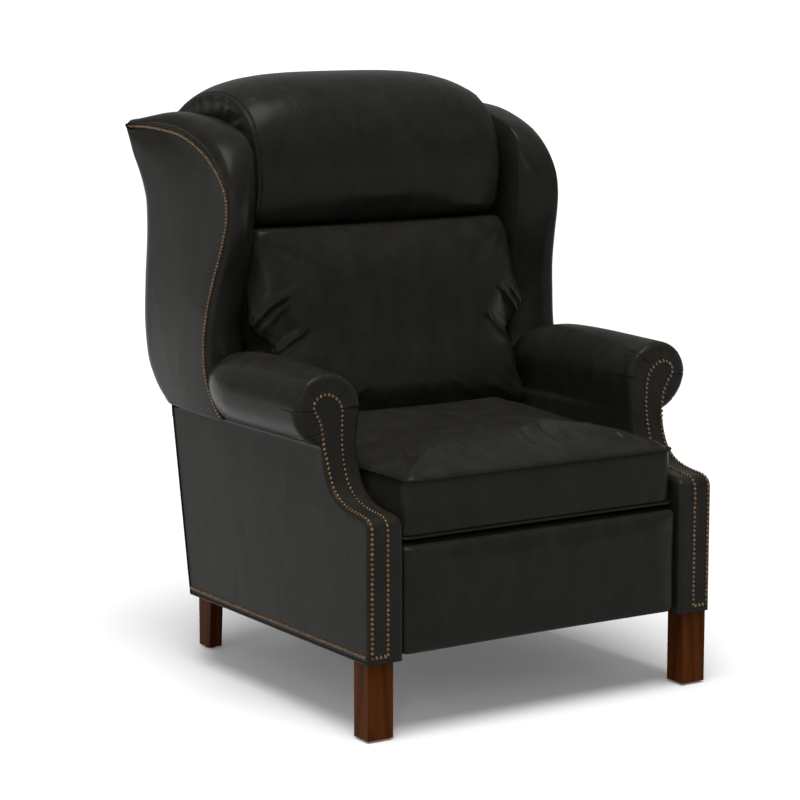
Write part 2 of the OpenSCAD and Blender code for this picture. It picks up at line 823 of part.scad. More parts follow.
module foot_brackets() {
  board_back = board_front + foot_board_t;
  low = [board_back, foot_end[1] - bar_w * 3];
  color(steel_c)
    both_sides() {
      across(plane_b, steel_t)
        difference() {
          union() {
            translate(foot_end) circle(bar_w / 2);
            polygon([foot_end + [0, bar_w / 2], [board_back, foot_end[1] + bar_w / 2],
              low, foot_end + [0, -bar_w / 2]]);
          }
          translate(foot_end) circle(pin_r + pin_gap);
        }
      block([plane_b - flange, board_back, low[1]],
        [plane_b, board_back + steel_t, foot_end[1] + bar_w / 2]);
    }
}

module foot_bracket_pins() {
  both_sides() pin(foot_end, plane_b, plane_c + steel_t);
}

module footrest_board() {
  color(timber_c)
    placed()
      block([-plane_c, board_front, foot_low_z], [plane_c, board_front + foot_board_t, foot_top_z]);
}

module footrest_pad() {
  h = foot_top_z - foot_low_z + 2 * soft_gap;
  color(leather_c)
    placed()
      translate([0, board_front, (foot_top_z + foot_low_z) / 2]) rotate([90, 0, 0])
        crowned_pad(2 * foot_hw, h, foot_pad_t * foot_border_share,
          foot_pad_t * (1 - foot_border_share), foot_corner, foot_pull);
}

left_side() front_leg();  // front_leg_left
right_side() front_leg();  // front_leg_right
left_side() rear_leg();  // rear_leg_left
right_side() rear_leg();  // rear_leg_right
glides();
left_side() side_rail();  // side_rail_left
right_side() side_rail();  // side_rail_right
front_posts();
rear_posts();
arm_boards();
front_rail();
rear_rail();
corner_rails();
left_side() inside_arm();  // inside_arm_left
right_side() inside_arm();  // inside_arm_right
left_side() outside_arm();  // outside_arm_left
right_side() outside_arm();  // outside_arm_right
left_side() arm_facing();  // arm_facing_left
right_side() arm_facing();  // arm_facing_right
base_rear_panel();
mechanism_rails();
hinge_plates();
hinge_pins();
base_pins();
left_side() back_post();  // back_post_left
right_side() back_post();  // back_post_right
back_rail(back_post_top - back_rail_h);  // back_top_rail
back_rail((back_post_top + back_post_low) / 2);  // back_middle_rail
back_rail(back_post_low);  // back_bottom_rail
back_springs();
outside_back();
left_side() wing();  // wing_left
right_side() wing();  // wing_right
headrest();
back_cushion();
back_brackets();
drive_rods();
rod_pins();
front_swing_links();
rear_swing_links();
left_side() seat_rail();  // seat_rail_left
right_side() seat_rail();  // seat_rail_right
seat_cross(seat_frame_front);  // seat_front_rail
seat_cross(seat_frame_rear - rail_t);  // seat_rear_rail
seat_springs();
seat_cushion();
seat_plates();
seat_pins();
foot_rear_links();
foot_cross_tube();
foot_front_links();
elbow_pins();
foot_brackets();
foot_bracket_pins();
footrest_board();
footrest_pad();
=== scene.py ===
"""Looks of the wingback recliner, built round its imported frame.

Shapes are written in millimetres in the part's working frame: x = 0 is the middle,
y is the depth behind the front of the legs, and z is the height above the floor.
The helper `placed` turns them into metres in the row frame.
"""

import math

import bmesh
import bpy
import numpy as np
from mathutils import Euler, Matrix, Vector


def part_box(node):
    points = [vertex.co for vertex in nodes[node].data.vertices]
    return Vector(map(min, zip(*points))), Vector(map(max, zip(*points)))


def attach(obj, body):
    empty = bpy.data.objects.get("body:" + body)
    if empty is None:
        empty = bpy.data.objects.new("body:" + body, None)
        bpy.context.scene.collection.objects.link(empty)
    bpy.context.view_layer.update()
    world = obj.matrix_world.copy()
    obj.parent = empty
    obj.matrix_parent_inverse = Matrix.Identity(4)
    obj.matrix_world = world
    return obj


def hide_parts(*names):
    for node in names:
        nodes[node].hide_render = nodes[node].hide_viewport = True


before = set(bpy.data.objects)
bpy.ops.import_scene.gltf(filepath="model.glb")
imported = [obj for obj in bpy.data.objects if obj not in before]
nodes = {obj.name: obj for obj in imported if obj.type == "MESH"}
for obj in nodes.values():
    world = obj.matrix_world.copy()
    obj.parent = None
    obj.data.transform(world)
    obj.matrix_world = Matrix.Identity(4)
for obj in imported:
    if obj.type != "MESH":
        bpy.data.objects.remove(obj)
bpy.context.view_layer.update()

MM = 0.001
SIDES = (("left", -1), ("right", 1))
POST_PROUD = 8  # the front posts stand this far in front of the legs
DEPTH_SHIFT = -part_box("arm_facing_left")[0].y / MM - POST_PROUD

# Sizes shared with the part's source
ARM_IN, ARM_OUT = 306, 380
ROLL_R, ROLL_X, ROLL_Z = 65, 370, 570
BODY_Z, SEAM_Z = 142, 505
SIDE_DEPTH, SIDE_TOP_DEPTH = 635, 700
REAR_LEAN = (SIDE_TOP_DEPTH - SIDE_DEPTH) / (SEAM_Z - BODY_Z)
WING_IN, WING_OUT = 300, 384
BACK_FOOT_Y, BACK_FOOT_Z = 870, 450
BACK_LEAN = (925 - BACK_FOOT_Y) / (1037 - BACK_FOOT_Z)
BACK_SILL = 1039  # height of the outside back's top edge, under the headrest
FRAME_FACE = 690  # depth of the back frame's front


# Numbers and lines


def mix(a, b, t):
    return a + (b - a) * t


def smoothstep(a, b, x):
    t = np.clip((x - a) / (b - a), 0, 1)
    return t * t * (3 - 2 * t)


def spline(points, steps):
    """Smooth line through the points, with that many steps in each span."""
    p = np.array(points, float)
    p = np.vstack([2 * p[0] - p[1], p, 2 * p[-1] - p[-2]])
    t = np.arange(steps)[:, None] / steps
    spans = [0.5 * (2 * b + (c - a) * t + (2 * a - 5 * b + 4 * c - d) * t**2
                    + (3 * b - a - 3 * c + d) * t**3)
             for a, b, c, d in zip(p, p[1:], p[2:], p[3:])]
    return np.vstack(spans + [p[-2:-1]])


def lengths_along(line):
    return np.concatenate([[0], np.cumsum(np.linalg.norm(np.diff(line, axis=0), axis=1))])


def between(s, places, rows):
    """Rows of values that stand at the given places, read between them at s."""
    return np.stack([np.interp(s, places, column) for column in rows.T], -1)


def at_length(line, s):
    """Points of a line at the given lengths from its start."""
    return between(s, lengths_along(line), line)


def evenly(line, count):
    return at_length(line, np.linspace(0, lengths_along(line)[-1], count))


def unit(v):
    return v / np.linalg.norm(v, axis=-1, keepdims=True)


def normals_left(line):
    """Unit normals on the left of a flat line."""
    d = np.gradient(line, axis=0)
    return unit(np.stack([-d[:, 1], d[:, 0]], -1))


def off_spans(points, line):
    """The nearest place to each point on each straight span of a line: its share along the
    span, and the point's offset from it."""
    a = line[:-1]
    ab = line[1:] - a
    ap = points[..., None, :] - a
    t = np.clip((ap * ab).sum(-1) / np.maximum((ab * ab).sum(-1), 1e-12), 0, 1)
    return t, ap - t[..., None] * ab


def distance_to_line(points, line):
    return np.linalg.norm(off_spans(points, line)[1], axis=-1).min(-1)


def back_face(z):
    """Depth of the leaning outside back at a height."""
    return BACK_FOOT_Y + BACK_LEAN * (z - BACK_FOOT_Z)


def placed(points):
    """Points in metres in the row frame."""
    p = np.array(points, float)
    p[..., 1] -= DEPTH_SHIFT
    return p * MM


# Meshes

JOINED_WITHIN = 0.05


def in_scene(name, data):
    obj = bpy.data.objects.new(name, data)
    bpy.context.scene.collection.objects.link(obj)
    return obj


def shaded_smooth(mesh):
    mesh.polygons.foreach_set("use_smooth", [True] * len(mesh.polygons))


def new_piece(name, verts, faces, material, body, slot, replaces=()):
    """A smooth mesh piece from points in the working frame."""
    mesh = bpy.data.meshes.new(name)
    mesh.from_pydata([tuple(v) for v in placed(verts)], [], [tuple(f) for f in faces])
    mesh.validate()
    shaded_smooth(mesh)
    mesh.materials.append(material)
    piece = in_scene(name, mesh)
    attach(piece, body)
    if replaces:
        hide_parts(*replaces)
    return piece


def grid_faces(rows, cols, closed_rows=False, closed_cols=False):
    faces = []
    for i in range(rows if closed_rows else rows - 1):
        for j in range(cols if closed_cols else cols - 1):
            i2, j2 = (i + 1) % rows, (j + 1) % cols
            faces.append((i * cols + j, i * cols + j2, i2 * cols + j2, i2 * cols + j))
    return faces


def shell(outer, inner):
    """Points and faces of a thin padded panel between two grids, closed round its rim."""
    rows, cols = outer.shape[:2]
    n = rows * cols
    faces = grid_faces(rows, cols)
    faces += [tuple(k + n for k in reversed(f)) for f in faces]
    rim = list(range(cols)) + [i * cols + cols - 1 for i in range(1, rows)]
    rim += [(rows - 1) * cols + j for j in range(cols - 2, -1, -1)]
    rim += [i * cols for i in range(rows - 2, 0, -1)]
    faces += [(b, a, a + n, b + n) for a, b in zip(rim, rim[1:] + rim[:1])]
    return np.vstack([outer.reshape(-1, 3), inner.reshape(-1, 3)]), faces


def mirrored(verts, faces, sign):
    """The mesh itself for sign 1, and its mirror image across the middle for sign -1."""
    if sign > 0:
        return verts, faces
    return np.array(verts) * (-1, 1, 1), [tuple(reversed(f)) for f in faces]


def swept(profile, half_width, count):
    """A grid of points: a profile in depth and height carried across the middle."""
    xs = np.linspace(-half_width, half_width, count)
    return np.array([[(x, y, z) for y, z in profile] for x in xs])


def sided(points, sign):
    """Points given for the right side, for either side."""
    return [(sign * x, y, z) for x, y, z in points]


def subdivided(piece):
    m = piece.modifiers.new("subdivision", "SUBSURF")
    m.levels = m.render_levels = 1


def joined_doubles(piece):
    """Joins points that lie together and turns the faces outward."""
    bm = bmesh.new()
    bm.from_mesh(piece.data)
    bmesh.ops.remove_doubles(bm, verts=bm.verts, dist=JOINED_WITHIN * MM)
    bmesh.ops.recalc_face_normals(bm, faces=bm.faces)
    bm.to_mesh(piece.data)
    bm.free()
    shaded_smooth(piece.data)


def panel(name, outer, inner, material, body, replaces=()):
    """A thin padded panel between two grids of points."""
    joined_doubles(new_piece(name, *shell(outer, inner), material, body, "leather", replaces))


def tube(line, radius, closed, sides=8):
    """Points and faces of a round tube along a line."""
    line = np.array(line, float)
    n = len(line)
    d = unit(np.roll(line, -1, 0) - np.roll(line, 1, 0) if closed else np.gradient(line, axis=0))
    up = np.cross(d[0], (0.31, 0.52, 0.79))
    rings = []
    for k in range(n):
        up = up - d[k] * (up @ d[k])
        up /= np.linalg.norm(up)
        side = np.cross(d[k], up)
        a = np.linspace(0, 2 * math.pi, sides, endpoint=False)[:, None]
        rings.append(line[k] + radius * (np.cos(a) * up + np.sin(a) * side))
    faces = grid_faces(n, sides, closed_rows=closed, closed_cols=True)
    if not closed:
        faces += [tuple(range(sides))[::-1], tuple((n - 1) * sides + k for k in range(sides))]
    return np.vstack(rings), faces


def welt(name, line, radius, body, closed=False):
    new_piece(name, *tube(line, radius, closed), piping, body, "leather")


def sideways(count, sign):
    """Normals straight out to the side."""
    return np.tile((float(sign), 0, 0), (count, 1))


# A nail head's rings from its foot to its dome: share of the radius, share of the height
NAIL_RINGS = [(1.0, -0.6), (1.0, 0.25), (0.84, 0.62), (0.5, 0.91)]
NAIL_SIDES = 10
NAIL_HEIGHT = 2.4


def nail_row(name, line, normals, body, pitch=8.8, radius=3.4):
    """Domed nail heads that touch along a line, each standing on its own normal."""
    along = lengths_along(line)
    s = np.linspace(0, along[-1], round(along[-1] / pitch) + 1)
    tilt = unit(between(s, along, normals))
    verts, faces = [], []
    for p, n in zip(at_length(line, s), tilt):
        u = np.cross(n, (0.3, 0.8, 0.52))
        u /= np.linalg.norm(u)
        v = np.cross(n, u)
        base = len(verts)
        for r, h in NAIL_RINGS:
            for k in range(NAIL_SIDES):
                a = 2 * math.pi * k / NAIL_SIDES
                verts.append(p + radius * r * (u * math.cos(a) + v * math.sin(a))
                             + n * NAIL_HEIGHT * h)
        tip = len(verts)
        verts.append(p + n * NAIL_HEIGHT)
        rings = grid_faces(len(NAIL_RINGS), NAIL_SIDES, closed_cols=True)
        faces += [tuple(base + k for k in face) for face in rings]
        top = tip - NAIL_SIDES
        faces += [(top + k, top + (k + 1) % NAIL_SIDES, tip) for k in range(NAIL_SIDES)]
    new_piece(name, verts, faces, brass, body, "nail_brass")


# Materials


def node_material(name):
    m = bpy.data.materials.new(name)
    m.use_nodes = True
    tree = m.node_tree
    return m, tree, tree.nodes["Principled BSDF"]


def add(tree, kind, inputs=None, **settings):
    node = tree.nodes.new(kind)
    for key, value in settings.items():
        setattr(node, key, value)
    for key, value in (inputs or {}).items():
        node.inputs[key].default_value = value
    return node


def scaled_coordinates(tree, scale):
    where = add(tree, "ShaderNodeTexCoord")
    size = add(tree, "ShaderNodeMapping", {"Scale": scale})
    tree.links.new(where.outputs["Object"], size.inputs["Vector"])
    return size.outputs["Vector"]


def ramp(tree, source, stops):
    node = add(tree, "ShaderNodeValToRGB")
    cr = node.color_ramp
    while len(cr.elements) < len(stops):
        cr.elements.new(0.5)
    for e, (at, colour) in zip(cr.elements, stops):
        e.position = at
        e.color = (*colour, 1)
    tree.links.new(source, node.inputs["Fac"])
    return node.outputs["Color"]


def spread(tree, source, low, high):
    node = add(tree, "ShaderNodeMapRange", {"To Min": low, "To Max": high})
    tree.links.new(source, node.inputs["Value"])
    return node.outputs["Result"]


def toned(tree, shader, source, stops, roughness):
    """Colour and roughness that vary with one texture."""
    tree.links.new(ramp(tree, source, stops), shader.inputs["Base Color"])
    tree.links.new(spread(tree, source, *roughness), shader.inputs["Roughness"])


def bumped(tree, shader, layers):
    """Bump layers, each (height output, strength, distance), from the coarsest to the finest."""
    last = None
    for height, strength, distance in layers:
        node = add(tree, "ShaderNodeBump", {"Strength": strength, "Distance": distance})
        tree.links.new(height, node.inputs["Height"])
        if last is not None:
            tree.links.new(last, node.inputs["Normal"])
        last = node.outputs["Normal"]
    tree.links.new(last, shader.inputs["Normal"])


def make_leather(name, dark, light, roughness=(0.2, 0.3)):
    """Leather with a cloudy tone, slack waves, grain and pores."""
    m, tree, shader = node_material(name)
    where = scaled_coordinates(tree, (1, 1, 0.55))
    plain = scaled_coordinates(tree, (1, 1, 1))
    cloudy = add(tree, "ShaderNodeTexNoise", {"Scale": 26, "Detail": 5, "Roughness": 0.62})
    grain = add(tree, "ShaderNodeTexVoronoi", {"Scale": 520, "Randomness": 1}, feature="F1")
    pores = add(tree, "ShaderNodeTexNoise", {"Scale": 900, "Detail": 3})
    slack = add(tree, "ShaderNodeTexNoise", {"Scale": 13, "Detail": 2, "Distortion": 0.5})
    tree.links.new(where, cloudy.inputs["Vector"])
    for node in (grain, pores, slack):
        tree.links.new(plain, node.inputs["Vector"])
    toned(tree, shader, cloudy.outputs["Fac"], [(0.36, dark), (0.66, light)], roughness)
    shader.inputs["Specular IOR Level"].default_value = 0.065
    bumped(tree, shader, [
        (slack.outputs["Fac"], 0.25, 0.004),
        (grain.outputs["Distance"], 0.22, 0.0005),
        (pores.outputs["Fac"], 0.16, 0.0003),
    ])
    return m


def make_wood(name, dark, light, line, gloss=0.34, along=(1, 1, 0.08)):
    """Wood whose grain runs where the scale `along` is small."""
    m, tree, shader = node_material(name)
    where = scaled_coordinates(tree, along)
    grain = add(tree, "ShaderNodeTexNoise", {"Scale": 150, "Detail": 6, "Roughness": 0.6})
    bands = add(tree, "ShaderNodeTexWave", {"Scale": 22, "Distortion": 6, "Detail": 3},
                wave_type="BANDS", bands_direction="DIAGONAL")
    pores = add(tree, "ShaderNodeTexNoise", {"Scale": 620, "Detail": 2})
    for node in (grain, bands, pores):
        tree.links.new(where, node.inputs["Vector"])
    blend = add(tree, "ShaderNodeMix", {"Factor": 0.45}, data_type="RGBA")
    for texture, socket, stops in ((grain, "A", [(0.3, dark), (0.7, light)]),
                                   (bands, "B", [(0.1, line), (0.55, light)])):
        tree.links.new(ramp(tree, texture.outputs["Fac"], stops), blend.inputs[socket])
    tree.links.new(blend.outputs["Result"], shader.inputs["Base Color"])
    tree.links.new(spread(tree, grain.outputs["Fac"], gloss - 0.06, gloss + 0.1),
                   shader.inputs["Roughness"])
    shader.inputs["Specular IOR Level"].default_value = 0.03
    bumped(tree, shader, [(pores.outputs["Fac"], 0.2, 0.0004)])
    return m


def make_metal(name, dark, light, roughness, metallic=1.0, scale=120):
    """Metal, or with metallic 0 a moulding, with a patchy tone."""
    m, tree, shader = node_material(name)
    where = scaled_coordinates(tree, (1, 1, 1))
    patina = add(tree, "ShaderNodeTexNoise", {"Scale": scale, "Detail": 4})
    tree.links.new(where, patina.inputs["Vector"])
    toned(tree, shader, patina.outputs["Fac"], [(0.35, dark), (0.65, light)], roughness)
    shader.inputs["Metallic"].default_value = metallic
    bumped(tree, shader, [(patina.outputs["Fac"], 0.12, 0.0004)])
    return m


leather = make_leather("leather", (0.0168, 0.016, 0.0128), (0.0228, 0.0218, 0.0176))
piping = make_leather("piping", (0.0136, 0.013, 0.0104), (0.0186, 0.0178, 0.0144))
brass = make_metal("antique_brass", (0.075, 0.047, 0.027), (0.215, 0.145, 0.088), (0.36, 0.5),
                   scale=240)
stained_wood = make_wood("stained_wood", (0.066, 0.0165, 0.0026), (0.125, 0.034, 0.0058),
                         (0.042, 0.0105, 0.0018))
timber = make_wood("timber", (0.20, 0.125, 0.068), (0.29, 0.195, 0.11), (0.16, 0.10, 0.052),
                   gloss=0.6, along=(0.06, 1, 1))
steel = make_metal("steel", (0.20, 0.205, 0.21), (0.32, 0.325, 0.33), (0.34, 0.5))
nylon = make_metal("glide_nylon", (0.018, 0.017, 0.016), (0.03, 0.029, 0.027), (0.45, 0.6),
                   metallic=0.0)
decking = make_leather("decking", (0.004, 0.004, 0.0038), (0.0065, 0.0063, 0.006), (0.75, 0.9))

FINISH = {"leather": leather, "wood": stained_wood, "timber": timber, "steel": steel,
          "glide": nylon}
TIMBER_NODES = ("side_rail", "front_posts", "rear_posts", "arm_boards", "front_rail", "rear_rail",
                "corner_rails", "back_post", "back_top", "back_middle", "back_bottom", "seat_rail",
                "seat_front", "seat_rear", "footrest_board")
LEATHER_NODES = ("inside_arm", "outside_arm", "arm_facing", "base_rear_panel", "outside_back",
                 "wing", "headrest", "back_cushion", "seat_cushion", "footrest_pad")
# Boards and rails that the leather is turned over, and frame parts that dark cloth covers
WRAPPED_NODES = ("footrest_board", "front_rail", "seat_front", "seat_rail")
CLOTHED_NODES = ("seat_rear", "back_bottom", "back_post", "back_top", "back_middle")
EASED_EDGE = 1.6


def slot_of(node):
    """The finish that a CAD node has by its name; what isn't listed is steel."""
    for names, slot in ((("front_leg", "rear_leg"), "wood"), (("glides",), "glide"),
                        (TIMBER_NODES, "timber"), (LEATHER_NODES, "leather")):
        if node.startswith(names):
            return slot
    return "steel"


def finish_of(node):
    if node.startswith(WRAPPED_NODES):
        return leather
    return decking if node.startswith(CLOTHED_NODES) else FINISH[slot_of(node)]


for node_name, node in nodes.items():
    node.data.materials.clear()
    node.data.materials.append(finish_of(node_name))
    if slot_of(node_name) in ("wood", "timber"):
        softened = node.modifiers.new("softened_edges", "BEVEL")
        softened.width = EASED_EDGE * MM
        softened.segments = 3
        softened.angle_limit = math.radians(40)


# The arm: one skin from the inner side round the face to the outer side.
# Its face follows a path in depth and height, and s is the length along it.

FACE_PATH = spline(
    [(-8, 142), (-8, 250), (-8, 340), (-8, 375), (-6, 388), (2, 396), (14, 400), (32, 402),
     (54, 405), (82, 412), (104, 424), (122, 443), (132, 466), (138, 489), (141, 508), (142, 528),
     (141, 546), (140, 562), (138, 580), (138, 610), (138, 650)], 6)
FACE_S = lengths_along(FACE_PATH)
FACE_N = normals_left(FACE_PATH)
S_ROLL = float(np.interp(ROLL_Z, FACE_PATH[:, 1], FACE_S))
S_NECK = S_ROLL - ROLL_R


def face_frame(s):
    """Point (depth, height) on the face's path and its outward normal there."""
    return between(s, FACE_S, FACE_PATH), unit(between(s, FACE_S, FACE_N))


def on_face(x, s, sunk):
    """Points of the arm's face at a width and a length along its path, sunk into it."""
    p, n = face_frame(s)
    return np.column_stack([x, p - n * np.reshape(sunk, (-1, 1))])


# Wing outline on the outer face: nail line from its foot to the top's rear as (x, y, z),
# then the rear edge from its foot to the same corner as (y, z). The face swells out over the arm.
NAIL_LINE = spline(
    [(387, 485, 506), (396, 508, 544), (401, 522, 587), (400, 529, 642), (395, 525, 698),
     (387, 515, 755), (379, 498, 812), (375, 485, 859), (374, 481, 886), (374, 482, 908),
     (374, 487, 926), (374, 496, 941), (374, 508, 955), (374, 523, 968), (374, 543, 983),
     (374, 567, 998), (374, 592, 1009), (374, 617, 1018), (374, 650, 1027), (374, 684, 1033),
     (375, 735, 1037), (375, 786, 1039), (376, 830, 1038.5), (377, 870, 1036)], 6)
REAR_LINE = spline(
    [(700, 506), (744, 533), (772, 562), (786, 585), (793, 609), (798, 643), (799, 677), (796, 715),
     (792, 756), (787, 790), (783, 825), (782, 860), (784, 893), (792, 914), (803, 934), (820, 957),
     (838, 980), (852, 1005), (870, 1036)], 5)
# Inner edge of the wing's padded front and top, on its inner face
INNER_LINE = spline(
    [(510, 508), (538, 545), (556, 590), (561, 630), (558, 680), (547, 736), (532, 790), (519, 840),
     (511, 890), (508, 940), (511, 985), (526, 1013), (556, 1033), (606, 1047), (660, 1056),
     (730, 1058), (800, 1056), (882, 1044)], 5)
# Around the padded edge from the nails to the inner face: share of the width, fullness
PAD_ROUND = [(0.0, 0.0), (0.004, 0.35), (0.03, 0.66), (0.09, 0.90), (0.18, 1.0), (0.32, 1.02),
             (0.48, 0.93), (0.64, 0.74), (0.78, 0.50), (0.89, 0.26), (0.96, 0.08), (1.0, -0.1)]
WING_ROWS = 110
WING_SHARE = np.linspace(0, 1, WING_ROWS)
NAILS = evenly(NAIL_LINE, WING_ROWS)
NAIL_NORMAL = normals_left(NAILS[:, 1:])
PAD_BULGE = (mix(12, 25, smoothstep(905, 985, NAILS[:, 2])) * smoothstep(0, 0.05, WING_SHARE)
             * mix(1, 0.3, smoothstep(0.80, 1, WING_SHARE)) + 1)
PAD_INNER = evenly(INNER_LINE, WING_ROWS)
ARM_GAP = 2.5


def pad_line(w):
    """The wing's padded edge at a share of its width: 0 at the nails, 1 at the inner face."""
    full = np.interp(w, *zip(*PAD_ROUND))
    yz = mix(NAILS[:, 1:], PAD_INNER, w**1.9) + NAIL_NORMAL * (PAD_BULGE * full)[:, None]
    return np.column_stack([mix(NAILS[:, 0], WING_IN, w), yz])


def wing_front_depth(x, z):
    """Depth of the wing's padded front at places given by width and height."""
    low = slice(0, WING_ROWS // 3)
    out = np.interp(z, NAILS[low, 2], NAILS[low, 0])
    share = np.clip((out - x) / (out - WING_IN), 0, 1)
    depth = []
    for w, h in zip(share, z):
        line = pad_line(w)[low]
        depth.append(np.interp(h, line[:, 2], line[:, 1]))
    return np.array(depth) - np.where(share > 0, 0, 4)


PLEATS = (0, 45, 90, 135, 180, 228)  # angles round the scroll, in degrees
SCROLL_END = 261
INNER_FULL = 6  # how far the roll swells over the inner arm
NECK_X, ARM_MID = 356, (ARM_IN + ARM_OUT) / 2
END_ROUND = 7
FACE_STEPS = (1, 0.8, 0.6, 0.44, 0.32, 0.23, 0.16, 0.11, 0.07, 0.045, 0.025, 0.01, 0)
ROLL_STEPS = (0.012, 0.03, 0.055, 0.09, 0.14, 0.22, 0.32, 0.43, 0.54, 0.64, 0.72, 0.79, 0.85,
              0.90, 0.94, 0.97, 0.99, 1)
REAR_STEPS = (0.04, 0.09, 0.16, 0.3, 0.55, 1)


def roll_angles():
    """Angles round the scroll, with close points at each pleat."""
    base = list(np.arange(0, 262, 6.5))
    for p in PLEATS:
        base += [p - 3.6, p - 1.6, p - 0.5, p + 0.5, p + 1.6, p + 3.6]
    return np.array(sorted(a for a in base if 0 < a < SCROLL_END))


def arm_outline():
    """Outline of the face in (x, s), with its middle line, edge radius and pleat depth."""
    low_s = np.concatenate([np.linspace(0, 215, 8), np.linspace(228, S_NECK - 6, 34)])
    low_mid = mix(ARM_MID, NECK_X, smoothstep(S_NECK - 60, S_NECK, low_s))
    ring = []
    for a in roll_angles():
        c = math.radians(180 - a)
        near = min(abs(a - p) for p in PLEATS)
        after = min((a - p for p in PLEATS if a >= p), default=99)
        groove = 0.9 * math.exp(-(((after - 3.2) / 1.8) ** 2)) - 1.9 * math.exp(-(near**2))
        edge = mix(15, 9, smoothstep(225, 262, a))
        # the middle line runs from the scroll's middle down to the neck, shared by both edges
        t = min(0.94, 0.94 - 0.89 * (a - 190) / 71)
        mid = (ROLL_X, S_ROLL) if a < 190 else (mix(NECK_X, ROLL_X, t), mix(S_NECK, S_ROLL, t))
        across = ROLL_R + (INNER_FULL if a < 90 else 0)
        ring.append((ROLL_X + across * math.cos(c), S_ROLL + ROLL_R * math.sin(c), *mid,
                     edge, groove))
    shared = sorted({(p[2], p[3]) for p in ring if p[2] < ROLL_X} | {(float(NECK_X), S_NECK)})
    inner = [(ARM_IN, s, m, s, mix(9, 12, smoothstep(150, 260, s)), 0.0)
             for s, m in zip(low_s, low_mid)]
    inner += [(mix(ARM_IN, ROLL_X - ROLL_R - INNER_FULL, smoothstep(S_NECK - 8, S_ROLL, s)),
               s, m, s, mix(12, 15, smoothstep(S_NECK, S_ROLL, s)), 0.0) for m, s in shared]
    corner = [(ARM_OUT + 3, S_ROLL - ROLL_R + 1.0, NECK_X, S_NECK, 8, 0.0),
              (ARM_OUT, S_NECK - 2.5, NECK_X, S_NECK, 7, 0.0)]
    outer = [(ARM_OUT, s, m, s, 7, 0.0) for s, m in zip(low_s[::-1], low_mid[::-1])]
    return np.array(inner + ring + corner + outer)


def rounding(d, r):
    """How far the face lies back from its plane at distance d from its edge."""
    d = np.minimum(d, r)
    return r - np.sqrt(np.maximum(r * r - (r - d) ** 2, 0))


def arm_skin():
    """Points and faces of the right arm's skin: the face from its middle line out, the sides and
    the roll back to the wing, and the rear."""
    xo, so, xm, sm, r, groove = arm_outline().T
    outline = np.stack([xo, so], -1)
    middle = np.stack([xm, sm], -1)
    rows = []
    for t in FACE_STEPS:
        q = outline + (middle - outline) * t
        fade = smoothstep(0.62, 0.30, t) if t > 0.1 else 1.0
        rows.append(on_face(*q.T, rounding(distance_to_line(q, outline), r) - groove * fade))
    start = on_face(xo, so, r)
    on_roll = so > S_NECK - 1
    side_end = SIDE_DEPTH + REAR_LEAN * (start[:, 2] - BODY_Z)

    def along_roll(depth):
        """The section at the given depths, sunk and drawn in near the wing."""
        sunk = np.sqrt(1 - np.clip((depth - 400) / 163, 0, 0.97) ** 2)
        sunk = mix(sunk, 1, 0.68 * smoothstep(405, 350, start[:, 0]))
        w = start.copy()
        w[:, 1] = depth
        w[:, 2] = np.where(on_roll, mix(SEAM_Z, w[:, 2], sunk), w[:, 2])
        full = np.clip((345 - w[:, 0]) / 45, 0, 1) * smoothstep(200, 400, depth)
        w[:, 0] += np.where(on_roll, INNER_FULL * full, 0)
        # its outer side meets the wing behind the wing's own nails
        edge = between(w[:, 2], NAILS[:40, 2], NAILS[:40, :2]).T
        drawn = (1 - np.clip((depth - 375) / (edge[1] - 377), 0, 1) ** 2) ** 0.66
        beyond = on_roll & (w[:, 0] > edge[0] - 4)
        w[:, 0] = np.where(beyond, mix(edge[0] - 4, w[:, 0], drawn), w[:, 0])
        return w

    # the roll's end comes to rest against the wing in a few rounds
    end = np.where(on_roll, 520, side_end)
    for _ in range(6):
        w = along_roll(end)
        stop = wing_front_depth(w[:, 0], w[:, 2]) - ARM_GAP - END_ROUND
        end = np.where(on_roll, mix(end, stop, 0.6), side_end)
    outward = unit(np.stack([xo - ROLL_X, 0 * xo, start[:, 2] - ROLL_Z], -1))
    for share in ROLL_STEPS:
        w = along_roll(mix(start[:, 1], end, share))
        fade = 1 - smoothstep(0.03, 0.10, share)
        w += outward * (groove * fade * on_roll)[:, None]
        # the panels are padded a little, and the roll's top is fuller along its middle
        full = math.sin(math.pi * min(share * 1.15, 1))
        w[:, 0] += np.where(on_roll, 0, np.sign(xo - ARM_MID) * 2.2 * full * smoothstep(0, 40, so)
                            * smoothstep(S_NECK, S_NECK - 70, so))
        crest = smoothstep(ROLL_Z, ROLL_Z + 50, start[:, 2]) * mix(2.5, 9, smoothstep(392, 350, xo))
        w[:, 2] += np.where(on_roll, crest * math.sin(math.pi * share), 0)
        rows.append(w)
    # the rear: behind the roll it follows the wing's front, and below it closes the panels
    rim = along_roll(end)
    centre = rim[on_roll].mean(0)
    for t in REAR_STEPS:
        w = rim.copy()
        w[:, 0] = np.where(on_roll, mix(rim[:, 0], centre[0], t), mix(xo, xm, t))
        w[:, 2] = np.where(on_roll, mix(rim[:, 2], centre[2], t), rim[:, 2])
        front = wing_front_depth(w[:, 0], w[:, 2]) - ARM_GAP - rounding(0 * xo + 60 * t, END_ROUND)
        w[:, 1] = np.where(on_roll, front, side_end)
        rows.append(w)
    rows = np.array(rows)
    return rows.reshape(-1, 3), grid_faces(len(rows), len(xo))


def face_line(q, lift):
    """A line given in (x, s) laid on the arm's face, and its normals."""
    return on_face(*q.T, -lift), np.column_stack([0 * q[:, 0], face_frame(q[:, 1])[1]])


